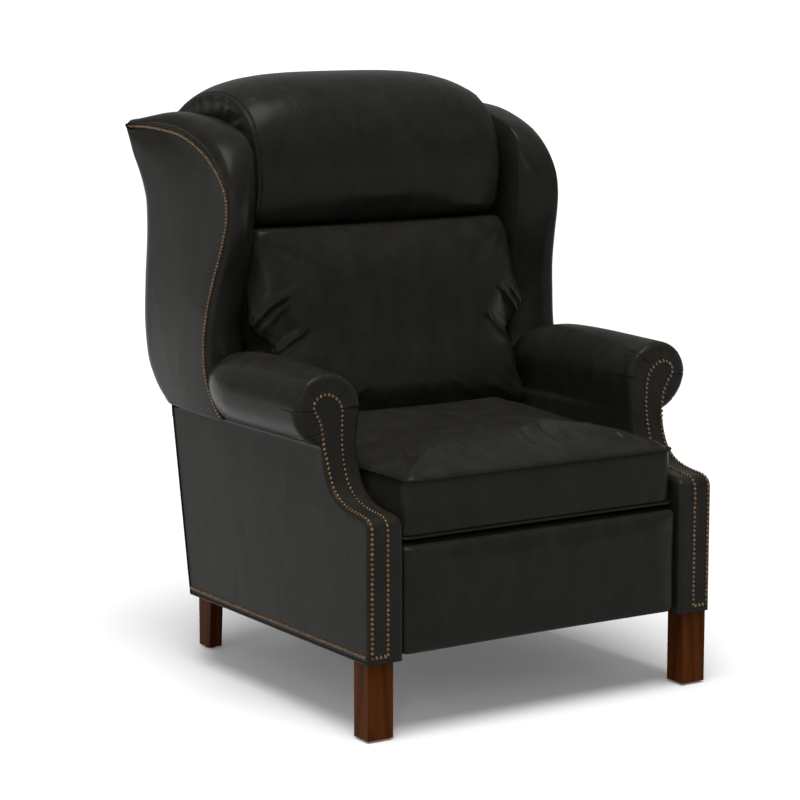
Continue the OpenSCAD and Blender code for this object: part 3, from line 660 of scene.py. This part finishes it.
# Nails round the facing: up the outer column, round the scroll as (x, s), down the inner one
NAIL_OUTER, NAIL_INNER, NAIL_FOOT, HEM_UP = 372, 340, 13, 3
ARC = [(373, S_NECK - 26), (376, S_NECK - 6), (379, S_ROLL - 45), (382.5, S_ROLL - 28),
       (389, S_ROLL - 13), (396, S_ROLL - 2), (399, S_ROLL + 9), (396, S_ROLL + 18),
       (388, S_ROLL + 25), (376, S_ROLL + 28.5), (364, S_ROLL + 26), (353, S_ROLL + 19),
       (344, S_ROLL + 8), (340, S_ROLL - 7), (339.5, S_ROLL - 24), (339.5, S_ROLL - 45),
       (340, S_NECK - 30)]


def keyhole():
    """The closed line of nails round the facing, as (x, s)."""
    up = [(NAIL_OUTER, s) for s in np.linspace(NAIL_FOOT, S_NECK - 50, 90)]
    over = spline([up[-1]] + ARC + [(NAIL_INNER, S_NECK - 55)], 8)
    down = [(NAIL_INNER, s) for s in np.linspace(S_NECK - 60, NAIL_FOOT, 90)]
    foot = [(x, NAIL_FOOT) for x in np.linspace(NAIL_INNER, NAIL_OUTER, 12)[1:-1]]
    return np.array(up + list(over[1:]) + down + foot + up[:1])


for side, sign in SIDES:
    skin = new_piece(f"arm_cover_{side}", *mirrored(*arm_skin(), sign), leather, "base", "leather",
                     [f"inside_arm_{side}", f"outside_arm_{side}", f"arm_facing_{side}"])
    joined_doubles(skin)
    subdivided(skin)
    line, normals = face_line(keyhole(), lift=0.3)
    nail_row(f"arm_nails_{side}", line * (sign, 1, 1), normals * (sign, 1, 1), "base")
    # nails and a welt along the foot of the side
    foot = np.array([(ARM_OUT + 0.6, y, BODY_Z + NAIL_FOOT)
                     for y in np.linspace(4, SIDE_DEPTH - 4, 60)])
    nail_row(f"side_nails_{side}", foot * (sign, 1, 1), sideways(len(foot), sign), "base", 6.6, 2.9)
    hem = [(x, -POST_PROUD + 2.5) for x in np.linspace(ARM_IN + 8, ARM_OUT - 9, 8)]
    hem += [(ARM_OUT - 5, -POST_PROUD + 3.2), (ARM_OUT - 2, -POST_PROUD + 5.5),
            (ARM_OUT - 0.6, -POST_PROUD + 9)]
    hem += [(ARM_OUT, y) for y in np.linspace(POST_PROUD, SIDE_DEPTH - 2, 50)]
    welt(f"side_hem_{side}", [(sign * x, y, BODY_Z + HEM_UP) for x, y in hem], 2.4, "base")


# The wing


def wing_mesh():
    """Points and faces of the right wing: across its rows it goes from the inner face round the
    padded edge to the nails, the outer face and the rear."""
    rear = np.column_stack([np.full(WING_ROWS, WING_OUT), evenly(REAR_LINE, WING_ROWS)])
    z_back = mix(NAIL_LINE[0, 2], BACK_SILL, WING_SHARE)
    back = np.column_stack([np.full(WING_ROWS, WING_IN), back_face(z_back), z_back])
    inner_back = back - (0, 40, 0)
    inner_front = np.column_stack([np.full(WING_ROWS, WING_IN), PAD_INNER])
    inset = np.column_stack([np.zeros(WING_ROWS), NAIL_NORMAL])
    cols = [inner_back, mix(inner_back, inner_front, 0.5), mix(inner_back, inner_front, 0.85)]
    cols += [pad_line(w) for w, _ in reversed(PAD_ROUND)]
    cols += [NAILS - inset * 1.5 - (1.5, 0, 0), NAILS - inset * 6, NAILS - inset * 12]
    for t in (0.12, 0.25, 0.4, 0.55, 0.75, 0.95, 1.0):
        cols.append(mix(NAILS - inset * 12, rear, t) + (3.0 * math.sin(math.pi * t), 0, 0))
    for t in (0.08, 0.3, 0.6, 0.9, 1.0):
        w = mix(rear, back, t)
        w[:, 0] = mix(WING_OUT, WING_IN, t**1.25)
        cols.append(w)
    n = len(cols)
    faces = grid_faces(WING_ROWS, n, closed_cols=True)
    faces += [tuple(range(n)), tuple(range((WING_ROWS - 1) * n, WING_ROWS * n))[::-1]]
    return np.stack(cols, 1).reshape(-1, 3), faces


for side, sign in SIDES:
    joined_doubles(new_piece(f"wing_cover_{side}", *mirrored(*wing_mesh(), sign), leather, "back",
                             "leather", [f"wing_{side}"]))
    line = evenly(NAIL_LINE, 260)
    out = np.column_stack([0 * line[:, 0], normals_left(line[:, 1:])])
    nails = (line - out * 5.5 + (0.6, 0, 0))[line[:, 2] > 512]
    nail_row(f"wing_nails_{side}", nails * (sign, 1, 1), sideways(len(nails), sign), "back",
             6.6, 3.2)
    welt(f"wing_welt_{side}", (line + out * 1.0 - (0.5, 0, 0)) * (sign, 1, 1), 2.6, "back")


# Padded pieces

CORNER_STEPS, SIDE_STEPS = 8, 14
VOXEL, PRESSURE, LAST_FRAME = 6, 4.0, 20


def boxed_rings(w, d, corner, pull, shares):
    """Rings of a boxed cushion, whose sides pull in between its corners: each share is
    (part of the size kept, height)."""
    rings = []
    for keep, z in shares:
        hw, hd, r = w / 2 * keep, d / 2 * keep, corner * keep
        ring = []

        def on_corner(q, a):
            cx = (1 if q % 4 in (0, 3) else -1) * (hw - r)
            cy = (1 if q % 4 < 2 else -1) * (hd - r)
            return cx + r * math.cos(a), cy + r * math.sin(a)

        for q in range(4):
            for k in range(CORNER_STEPS + 1):
                ring.append(on_corner(q, math.radians(90 * q + 90 * k / CORNER_STEPS)))
            a = math.radians(90 * (q + 1))
            last, end = ring[-1], on_corner(q + 1, a)
            for k in range(1, SIDE_STEPS):
                t = k / SIDE_STEPS
                inward = pull * keep * math.sin(math.pi * t)
                ring.append((mix(last[0], end[0], t) - inward * math.cos(a),
                             mix(last[1], end[1], t) - inward * math.sin(a)))
        rings.append([(x, y, z) for x, y in ring])
    return np.array(rings)


def closed_ring(ring):
    return np.vstack([ring, ring[:1]])


def lofted(name, rings, body, replaces, swap=lambda p: p):
    """A closed leather piece through rings of points, each first turned by `swap`."""
    rows, cols = rings.shape[:2]
    faces = grid_faces(rows, cols, closed_cols=True)
    faces += [tuple(range(cols))[::-1], tuple(range((rows - 1) * cols, rows * cols))]
    piece = new_piece(name, swap(rings.reshape(-1, 3)), faces, leather, body, "leather", replaces)
    joined_doubles(piece)
    return piece


def values_of(mesh, attribute):
    co = np.zeros(len(mesh.vertices) * 3)
    mesh.vertices.foreach_get(attribute, co)
    return co.reshape(-1, 3)


def working(mesh):
    """The mesh's points in the working frame, in millimetres."""
    p = values_of(mesh, "co") / MM
    p[:, 1] += DEPTH_SHIFT
    return p


def set_working(mesh, p):
    mesh.vertices.foreach_set("co", placed(p).ravel())
    mesh.update()


def applied(piece):
    """The piece's modifiers become its mesh."""
    graph = bpy.context.evaluated_depsgraph_get()
    mesh = bpy.data.meshes.new_from_object(piece.evaluated_get(graph), depsgraph=graph)
    piece.modifiers.clear()
    old = piece.data
    piece.data = mesh
    bpy.data.meshes.remove(old)
    shaded_smooth(mesh)


def inflate(piece, seams, cap):
    """Remeshes a padded piece and swells it as cloth, held along its seams, each
    (line, reach). No point moves further than the cap."""
    m = piece.modifiers.new("remesh", "REMESH")
    m.mode = "VOXEL"
    m.voxel_size = VOXEL * MM
    applied(piece)
    rest = working(piece.data)
    held = piece.vertex_groups.new(name="held")
    near = np.zeros(len(rest), bool)
    for line, reach in seams:
        near |= distance_in_parts(rest, np.array(line, float)) < reach
    held.add([int(i) for i in np.flatnonzero(near)], 1.0, "REPLACE")
    cloth = piece.modifiers.new("cloth", "CLOTH")
    cs = cloth.settings
    cs.quality = 5
    cs.mass = 0.4
    cs.tension_stiffness = cs.compression_stiffness = 12
    cs.shear_stiffness = 6
    cs.bending_stiffness = 1.5
    cs.use_pressure = True
    cs.uniform_pressure_force = PRESSURE
    cs.effector_weights.gravity = 0
    cs.vertex_group_mass = "held"
    cloth.collision_settings.use_collision = False
    cloth.point_cache.frame_start, cloth.point_cache.frame_end = 1, LAST_FRAME
    scene = bpy.context.scene
    for f in range(1, LAST_FRAME + 1):
        scene.frame_set(f)
    swollen = piece.evaluated_get(bpy.context.evaluated_depsgraph_get())
    move = working(swollen.to_mesh()) - rest
    swollen.to_mesh_clear()
    piece.modifiers.clear()
    scene.frame_set(1)
    far = np.linalg.norm(move, axis=1)
    move *= (np.tanh(far / cap) * cap / np.maximum(far, 1e-9))[:, None]
    set_working(piece.data, rest + move)
    m = piece.modifiers.new("relax", "SMOOTH")
    m.factor = 0.5
    m.iterations = 2
    applied(piece)
    subdivided(piece)
    applied(piece)


def distance_in_parts(points, line, part=4000):
    """Distance of many points to a line, a part of them at a time to spare memory."""
    return np.concatenate([distance_to_line(points[k : k + part], line)
                           for k in range(0, len(points), part)])


def crease(piece, line, width, depth, shoulder=0.45, whole=False):
    """Presses a fold along a line into a piece, with a soft ridge beside it.
    It fades toward its end, unless it is a whole seam."""
    p = working(piece.data)
    n = values_of(piece.data, "normal")
    line = np.array(line, float)
    total = lengths_along(line)
    low, high = line.min(0) - 3 * width, line.max(0) + 3 * width
    near = np.flatnonzero(((p > low) & (p < high)).all(1))
    if len(near) == 0:
        return
    t, off = off_spans(p[near], line)
    d = np.linalg.norm(off, axis=-1)
    k = d.argmin(1)
    rows = np.arange(len(near))
    d = d[rows, k]
    share = (total[k] + t[rows, k] * (total[k + 1] - total[k])) / total[-1]
    fade = 1 if whole else smoothstep(-0.02, 0.12, share) * (1 - smoothstep(0.45, 1.0, share))
    side = np.sign((np.cross(np.diff(line, axis=0)[k], off[rows, k]) * n[near]).sum(1))
    valley = -np.exp(-((d / (0.5 * width)) ** 2))
    ridge = np.where(side > 0, 1, 0.35) * np.exp(-(((d - width) / (0.7 * width)) ** 2))
    p[near] += n[near] * (depth * fade * (valley + shoulder * ridge))[:, None]
    set_working(piece.data, p)


# Seat cushion: boxed, with a welt round its top and bottom edges

SEAT_W, SEAT_D, SEAT_T, SEAT_Z = 600, 510, 106, 351
SEAT_MID_Y = POST_PROUD + SEAT_D / 2
SEAT_CORNER, SEAT_PULL = 15, 2
SEAT_RIM, SEAT_FOOT = SEAT_Z + SEAT_T, SEAT_Z + 3


def seat_lean(p):
    """Draws the cushion's box in a little toward its top, and its front forward."""
    up = smoothstep(SEAT_Z, SEAT_RIM, p[:, 2])
    forward = 8 * up * smoothstep(200, 20, p[:, 1])
    return np.column_stack([p[:, 0] * (1 - 0.018 * up), p[:, 1] - forward, p[:, 2]])


def seat_edge(z, grow=0.0):
    """The ring round the cushion's side at a height."""
    ring = boxed_rings(SEAT_W + 2 * grow, SEAT_D + 2 * grow, SEAT_CORNER, SEAT_PULL, [(1, z)])[0]
    return seat_lean(ring + (0, SEAT_MID_Y, 0))


def seat_crown(p):
    """Stands the cushion in its place, with its top fuller toward the back."""
    p = seat_lean(p + (0, SEAT_MID_Y, SEAT_Z))
    over = smoothstep(SEAT_RIM + 1, SEAT_RIM + 18, p[:, 2])
    return p + np.column_stack([0 * over, 0 * over, 9 * over * smoothstep(60, 400, p[:, 1])])


seat_shares = [(0.92, -1), (0.985, 0.4), (0.998, 2), (1.0, 7), (1.002, 0.5 * SEAT_T)]
seat_shares += [(keep, SEAT_T + z) for keep, z in (
    (1.0, -8), (0.997, -1), (0.982, 6), (0.94, 16), (0.86, 26), (0.68, 34), (0.44, 37), (0.2, 38))]
seat_cushion = lofted("seat_cushion_cover",
                      boxed_rings(SEAT_W - 4, SEAT_D - 4, SEAT_CORNER, SEAT_PULL, seat_shares),
                      "seat", ["seat_cushion"], seat_crown)
inflate(seat_cushion, [(closed_ring(seat_edge(z)), reach)
                       for z, reach in ((SEAT_RIM, 7), (SEAT_FOOT, 8))], cap=16)
# Wrinkles near the front: line, width, depth
for fold, width, depth in [
    ([(140, 150, 490), (108, 108, 489), (96, 70, 486), (104, 42, 480)], 9, 6.1),
    ([(88, 152, 490), (68, 112, 490), (62, 78, 487), (72, 50, 482)], 9, 5.4),
    ([(190, 130, 488), (160, 96, 487), (152, 62, 484), (160, 38, 478)], 10, 5.1),
    ([(40, 140, 490), (18, 104, 490), (14, 70, 487), (26, 44, 482)], 10, 4.1),
    ([(-120, 150, 490), (-140, 108, 488), (-140, 70, 484), (-124, 44, 479)], 10, 5.1),
    ([(-72, 160, 491), (-92, 118, 489), (-92, 80, 486), (-78, 52, 482)], 9, 5.4),
    ([(-176, 140, 488), (-196, 100, 485), (-196, 64, 480), (-180, 40, 474)], 10, 5.1),
    ([(-230, 118, 482), (-244, 84, 478), (-240, 54, 472), (-222, 34, 466)], 9, 4.1),
    ([(-30, 190, 492), (-46, 150, 491), (-46, 116, 490), (-34, 92, 489)], 11, 3.1),
    ([(236, 108, 482), (214, 76, 480), (208, 50, 476), (218, 32, 470)], 9, 3.7),
]:
    crease(seat_cushion, spline(fold, 6), width, depth)
for name, z in (("seat_welt_top", SEAT_RIM), ("seat_welt_low", SEAT_FOOT)):
    welt(name, seat_edge(z, grow=-0.4), 2.6, "seat", closed=True)


# Footrest panel

FOOT_W, FOOT_LOW, FOOT_HIGH, FOOT_BACK, FOOT_T = 606, 147, 342, 24, 30.5
FOOT_CORNER, FOOT_PULL = 9, 1.5
FOOT_MID = (FOOT_LOW + FOOT_HIGH) / 2


def foot_rings(shares):
    return boxed_rings(FOOT_W, FOOT_HIGH - FOOT_LOW, FOOT_CORNER, FOOT_PULL, shares)


def stood_up(p):
    """Turns the panel's rings upright, with their height counted forward from its back."""
    return np.stack([p[:, 0], FOOT_BACK - p[:, 2], FOOT_MID + p[:, 1]], -1)


foot_shares = [(0.97, 0), (1.0, 3)]
foot_shares += [(keep, z * FOOT_T) for keep, z in (
    (1.0, 0.55), (0.992, 0.74), (0.97, 0.88), (0.93, 0.96), (0.8, 1.0), (0.5, 1.03), (0.2, 1.04))]
footrest = lofted("footrest_cover", foot_rings(foot_shares), "footrest", ["footrest_pad"], stood_up)
held_rings = foot_rings([(1, 0), (1, 0.55 * FOOT_T)])
inflate(footrest, [(closed_ring(stood_up(ring)), 10) for ring in held_rings], cap=3)
turned_line = [(23, 338), (26, 342.6), (33, 343.4), (40, 342.8), (41.5, 338), (41.5, 300)]
turned = swept(spline(turned_line, 4), 301, 24)
panel("footrest_turned_edge", turned, turned - (0, 0.2, 1.0), leather, "footrest")


# Headrest: a bolster over the top of the back with a seamed cap at each end

HEAD_HW, HEAD_TOP, HEAD_LOW, HEAD_FRONT, HEAD_REAR = 285, 1136, 851.5, 518, 925
HEAD_SILL = 1040  # height of its underside over the back frame
HEAD_SEAM = 272
HEAD_SECTION = [(0.1, 0.01), (0.035, 0.1), (0, 0.36), (0.025, 0.62), (0.11, 0.83), (0.25, 0.955),
                (0.44, 1), (0.66, 0.965), (0.85, 0.86), (0.965, 0.72), (1, 0.655)]
HEAD_STEPS = 5


def head_section(x):
    """The bolster's outline in depth and height at a place across it."""
    s = abs(x) / HEAD_HW
    e = s**4
    top = HEAD_TOP - 38 * e - 9 * s**16
    fore = HEAD_FRONT + 22 * e
    cap = smoothstep(0.955, 1.0, s)
    rear = HEAD_REAR - 34 * s**10
    line = [(mix(fore, rear, a), mix(HEAD_LOW, top, b)) for a, b in HEAD_SECTION]
    middle = np.array([(fore + HEAD_REAR) / 2, (HEAD_SILL + top) / 2])
    line = mix(middle, spline(line, HEAD_STEPS), 1 - 0.055 * cap)
    back = [(HEAD_REAR - 14, HEAD_SILL + 1), (850, HEAD_SILL), (770, HEAD_SILL)]
    back += [(FRAME_FACE, z) for z in (HEAD_SILL, 980, 915, HEAD_LOW + 1)]
    return np.vstack([line, back, [(640, HEAD_LOW + 1), (600, HEAD_LOW)]])


head_x = HEAD_HW * np.array([-1, -0.99, -0.97, -0.95, -0.9, -0.82, -0.7, -0.55, -0.37, -0.18, 0,
                             0.18, 0.37, 0.55, 0.7, 0.82, 0.9, 0.95, 0.97, 0.99, 1])
head_rings = np.array([[(x, y, z) for y, z in head_section(x)] for x in head_x])
headrest = lofted("headrest_cover", head_rings, "back", ["headrest"])
cap_line = {s: np.array([(s * HEAD_SEAM, y, z) for y, z in head_section(HEAD_SEAM)[:48]])
            for s in (-1, 1)}
rear_low = [(x, HEAD_REAR, HEAD_SILL + 1) for x in (-290, 290)]
under = [(x, FRAME_FACE, HEAD_LOW) for x in (-290, 290)]
inflate(headrest, [(cap_line[-1], 6), (cap_line[1], 6), (rear_low, 20), (under, 30)], cap=10)
for s in (-1, 1):
    crease(headrest, cap_line[s], 4.5, 3.2, shoulder=0.3, whole=True)
    for tuck in ([(299, 600, 1099), (284, 600, 1108), (256, 600, 1119)],
                 [(281, 610, 1088), (258, 606, 1095), (231, 602, 1098)],
                 [(272, 640, 1108), (254, 644, 1118), (232, 650, 1124)],
                 [(270, 575, 1082), (252, 570, 1086), (236, 566, 1088)]):
        crease(headrest, spline(sided(tuck, s), 5), 4.5, 3.4)
# Faint folds down the front: place, lean
for x, lean in ((-190, 14), (-120, -8), (-30, 10), (60, -12), (150, 8), (215, -14)):
    fold = [(x, 600, 1128), (x + lean / 2, 560, 1108), (x + lean, 532, 1070), (x + lean, 522, 1030)]
    crease(headrest, spline(fold, 5), 16, 1.8)


# Lower back cushion, drawn in at the arms

BACK_FOOT, BACK_TOP, BACK_REAR = 470, 850, 688
CUSHION_HW, CUSHION_FACE, CUSHION_RAKE = 297, 500, 38
PINCH = 0.40  # share of the height at which the arms draw the cushion in
# Its outline up the height: share of the height, of the half width, and of the rake
CUSHION_SHARES = [
    (0, 1.0, -0.95), (0.03, 1.01, -1.15), (0.09, 1.01, -1.12), (0.18, 1.005, -0.96),
    (0.28, 0.995, -0.76), (0.35, 0.975, -0.6), (0.40, 0.945, -0.47), (0.45, 0.975, -0.35),
    (0.50, 1.035, -0.24), (0.56, 1.065, -0.12), (0.64, 1.05, 0.0), (0.74, 1.02, 0.14),
    (0.84, 1.0, 0.34), (0.92, 0.985, 0.6), (0.97, 0.97, 0.82), (1, 0.95, 1)]


def cushion_rings():
    """Rings round the cushion, from its foot to its top."""
    rings = []
    heights, widths, rakes = spline(CUSHION_SHARES, 6).T
    for s in np.linspace(0, 1, 34):
        w = CUSHION_HW * np.interp(s, heights, widths)
        f = CUSHION_FACE + CUSHION_RAKE * np.interp(s, heights, rakes)
        z = mix(BACK_FOOT, BACK_TOP, s)
        wr = min(w, CUSHION_HW)
        half = spline([(wr, BACK_REAR), (wr, f + 80), (wr, f + 44), (w - 1, f + 26),
                       (w * 0.985, f + 11), (w * 0.93, f + 2), (w * 0.80, f - 4),
                       (w * 0.45, f - 9), (0, f - 11)], 3)
        rings.append([(x, y, z) for x, y in half] + [(-x, y, z) for x, y in half[-2::-1]])
    return np.array(rings)


back_cushion = lofted("back_cushion_cover", cushion_rings(), "back", ["back_cushion"])
z_pinch = mix(BACK_FOOT, BACK_TOP, PINCH)
hold = [([(s * 262, 508, z_pinch - 4), (s * 262, 530, z_pinch)], 14) for s in (-1, 1)]
hold += [([(-270, FRAME_FACE, z), (270, FRAME_FACE, z)], 40) for z in (480, 660, 845)]
hold += [([(-280, 545, z), (280, 545, z)], 26) for z in (BACK_TOP, BACK_FOOT)]
inflate(back_cushion, hold, cap=16)
# Folds that fan out from where the arms draw the cushion in
for s in (-1, 1):
    for fold, width, depth in [
        ([(256, 508, 608), (238, 499, 630), (212, 494, 656), (192, 491, 690)], 11, 8.0),
        ([(250, 504, 606), (214, 496, 616), (178, 493, 634), (146, 491, 652)], 9, 3.4),
        ([(304, 518, 656), (286, 503, 686), (246, 495, 720), (192, 491, 746)], 10, 6.5),
        ([(305, 520, 668), (312, 508, 694), (317, 504, 722), (315, 506, 752)], 7, 3.6),
        ([(300, 518, 650), (286, 505, 642), (268, 501, 628), (257, 503, 611)], 6, 4.0),
        ([(258, 508, 604), (252, 503, 578), (238, 501, 548), (220, 500, 520)], 12, 3.0),
    ]:
        crease(back_cushion, spline(sided(fold, s), 6), width, depth, shoulder=0.8)


# Outside back and the rear of the base

WING_CLEAR_Z = 512  # height at which the wings' foot is passed


def back_grid(shift, crown):
    """The outside back: flat with a soft crown, and a little narrower below the wings."""
    v, u = np.meshgrid(np.linspace(0, 1, 40), np.linspace(-1, 1, 30), indexing="ij")
    z = mix(BACK_FOOT_Z, BACK_SILL, v)
    edge = (1 - np.abs(u) ** 8) * (1 - np.abs(2 * v - 1) ** 10)
    half = mix(292, WING_IN, smoothstep(496, WING_CLEAR_Z, z))
    return np.stack([u * half, back_face(z) + shift + crown * edge, z], -1)


panel("outside_back_cover", back_grid(-4, 6), back_grid(-14, 0), leather, "back", ["outside_back"])
for side, sign in SIDES:
    seam = [(sign * 299, back_face(z) - 1, z) for z in np.linspace(WING_CLEAR_Z, BACK_SILL, 40)]
    welt(f"back_welt_{side}", seam, 2.8, "back")
welt("back_hem", [(x, back_face(453) - 1, 453) for x in np.linspace(-284, 284, 40)], 2.8, "back")
welt("back_top_welt", [(x, back_face(1038) - 6, 1041) for x in np.linspace(-296, 296, 40)], 4.6,
     "back")

CORNER_X, REAR_DEPTH = 299.5, SIDE_DEPTH + 150
# Half the plan of the base's rear at its foot, from the side to the middle
REAR_PATH = spline([(ARM_OUT, SIDE_DEPTH), (ARM_OUT - 1, SIDE_DEPTH + 4), (342, SIDE_DEPTH + 74),
                    (CORNER_X + 2, REAR_DEPTH - 5), (CORNER_X - 8, REAR_DEPTH),
                    (150, REAR_DEPTH + 2), (0, REAR_DEPTH + 2)], 5)


def rear_grid(inset):
    """The base's leaning rear, with its top cut under the wings and the back."""
    rows = []
    for v in np.linspace(0, 1, 24):
        row = []
        for x, y in REAR_PATH:
            top = np.interp(y, [SIDE_DEPTH, REAR_DEPTH - 6], [503, 454])
            z = mix(BODY_Z, top, v)
            yy = y + REAR_LEAN * (z - BODY_Z)
            scale = (x - inset) / x if x > inset else 1
            row.append((x * scale, yy - inset * (1 if x < CORNER_X + 3 else 0.3), z))
        row += [(-x, y, z) for x, y, z in row[-2::-1]]
        rows.append(row)
    return np.array(rows)


panel("base_rear_cover", rear_grid(0), rear_grid(12), leather, "base", ["base_rear_panel"])


# Dark cloth over the springs of the back and the seat, and the leather border at the seat's front

FRAME_HW = 283
back_sheet = swept([(FRAME_FACE - 0.8, z) for z in np.linspace(452, 858, 10)], FRAME_HW, 12)
panel("back_deck", back_sheet, back_sheet + (0, 1.4, 0), decking, "back")
deck_line = [(53, 353.5), (90, 354.2), (200, 354.4), (320, 354.4), (440, 354.2), (511, 353.5)]
deck = swept(spline(deck_line, 4), FRAME_HW - 1, 12)
panel("seat_deck", deck, deck - (0, 0, 1.2), decking, "seat")
border_line = [(52, 324), (50.5, 322.8), (48.5, 322.6), (47, 325), (46.6, 336), (47, 348),
               (48.5, 352.6), (51, 353.6), (53, 353.2)]
border = swept(spline(border_line, 3), FRAME_HW, 16)
panel("seat_border", border, border + (0, 1.0, 0), leather, "seat")


# Camera, floor and light

camera = in_scene("camera", bpy.data.cameras.new("camera"))
camera.data.lens = 118.9
camera.data.clip_end = 500
camera.location = (-2.750, -4.2209, 1.330)
camera.rotation_euler = Euler([math.radians(a) for a in (80.78, 0, -32.97)])
bpy.context.scene.camera = camera

FAR = 240
floor_mesh = bpy.data.meshes.new("floor")
floor_mesh.from_pydata([(-FAR, -FAR, 0), (FAR, -FAR, 0), (FAR, FAR, 0), (-FAR, FAR, 0)], [],
                       [(0, 1, 2, 3)])
floor = in_scene("floor", floor_mesh)

# The paper is white to the camera and in reflections, and duller in the light that it gives back
paper, tree, shader = node_material("paper")
shader.inputs["Base Color"].default_value = (0.95, 0.95, 0.95, 1)
shader.inputs["Roughness"].default_value = 0.9
shader.inputs["Specular IOR Level"].default_value = 0.0
path = add(tree, "ShaderNodeLightPath")
glow = add(tree, "ShaderNodeEmission", {"Strength": 0.1})
dull = add(tree, "ShaderNodeBsdfDiffuse", {"Color": (0.3, 0.3, 0.3, 1)})
both = add(tree, "ShaderNodeAddShader")
seen = add(tree, "ShaderNodeMath", operation="MAXIMUM")
seen_all = add(tree, "ShaderNodeMath", operation="MAXIMUM")
choose = add(tree, "ShaderNodeMixShader")
for source, target in (
    (shader.outputs["BSDF"], both.inputs[0]),
    (glow.outputs["Emission"], both.inputs[1]),
    (path.outputs["Is Camera Ray"], seen.inputs[0]),
    (path.outputs["Is Glossy Ray"], seen.inputs[1]),
    (seen.outputs["Value"], seen_all.inputs[0]),
    (path.outputs["Is Transmission Ray"], seen_all.inputs[1]),
    (seen_all.outputs["Value"], choose.inputs["Fac"]),
    (dull.outputs["BSDF"], choose.inputs[1]),
    (both.outputs["Shader"], choose.inputs[2]),
    (choose.outputs["Shader"], tree.nodes["Material Output"].inputs["Surface"]),
):
    tree.links.new(source, target)
floor_mesh.materials.append(paper)

world = bpy.data.worlds.new("world")
bpy.context.scene.world = world
world.use_nodes = True
sky = world.node_tree
sky.nodes["Background"].inputs["Color"].default_value = (1, 1, 1, 1)
sky.nodes["Background"].inputs["Strength"].default_value = 0.29


def lamp(name, kind, place, target, **settings):
    data = bpy.data.lights.new(name, kind)
    for key, value in settings.items():
        setattr(data, key, value)
    obj = in_scene(name, data)
    obj.location = place
    aim = Vector(target) - Vector(place)
    obj.rotation_euler = aim.to_track_quat("-Z", "Y").to_euler()


lamp("key_sun", "SUN", (-0.7, -0.9, 5), (0, 0, 0), energy=2.55, angle=math.radians(38))
lamp("left_box", "AREA", (-3.3, -0.2, 1.3), (0, 0, 0.6), energy=8.5, shape="RECTANGLE",
     size=0.8, size_y=1.1)
lamp("edge_strip", "AREA", (-2.5, -3.2, 1.9), (0, 0, 0.7), energy=12, shape="RECTANGLE",
     size=0.25, size_y=1.3)

bpy.context.scene.view_settings.view_transform = "Standard"
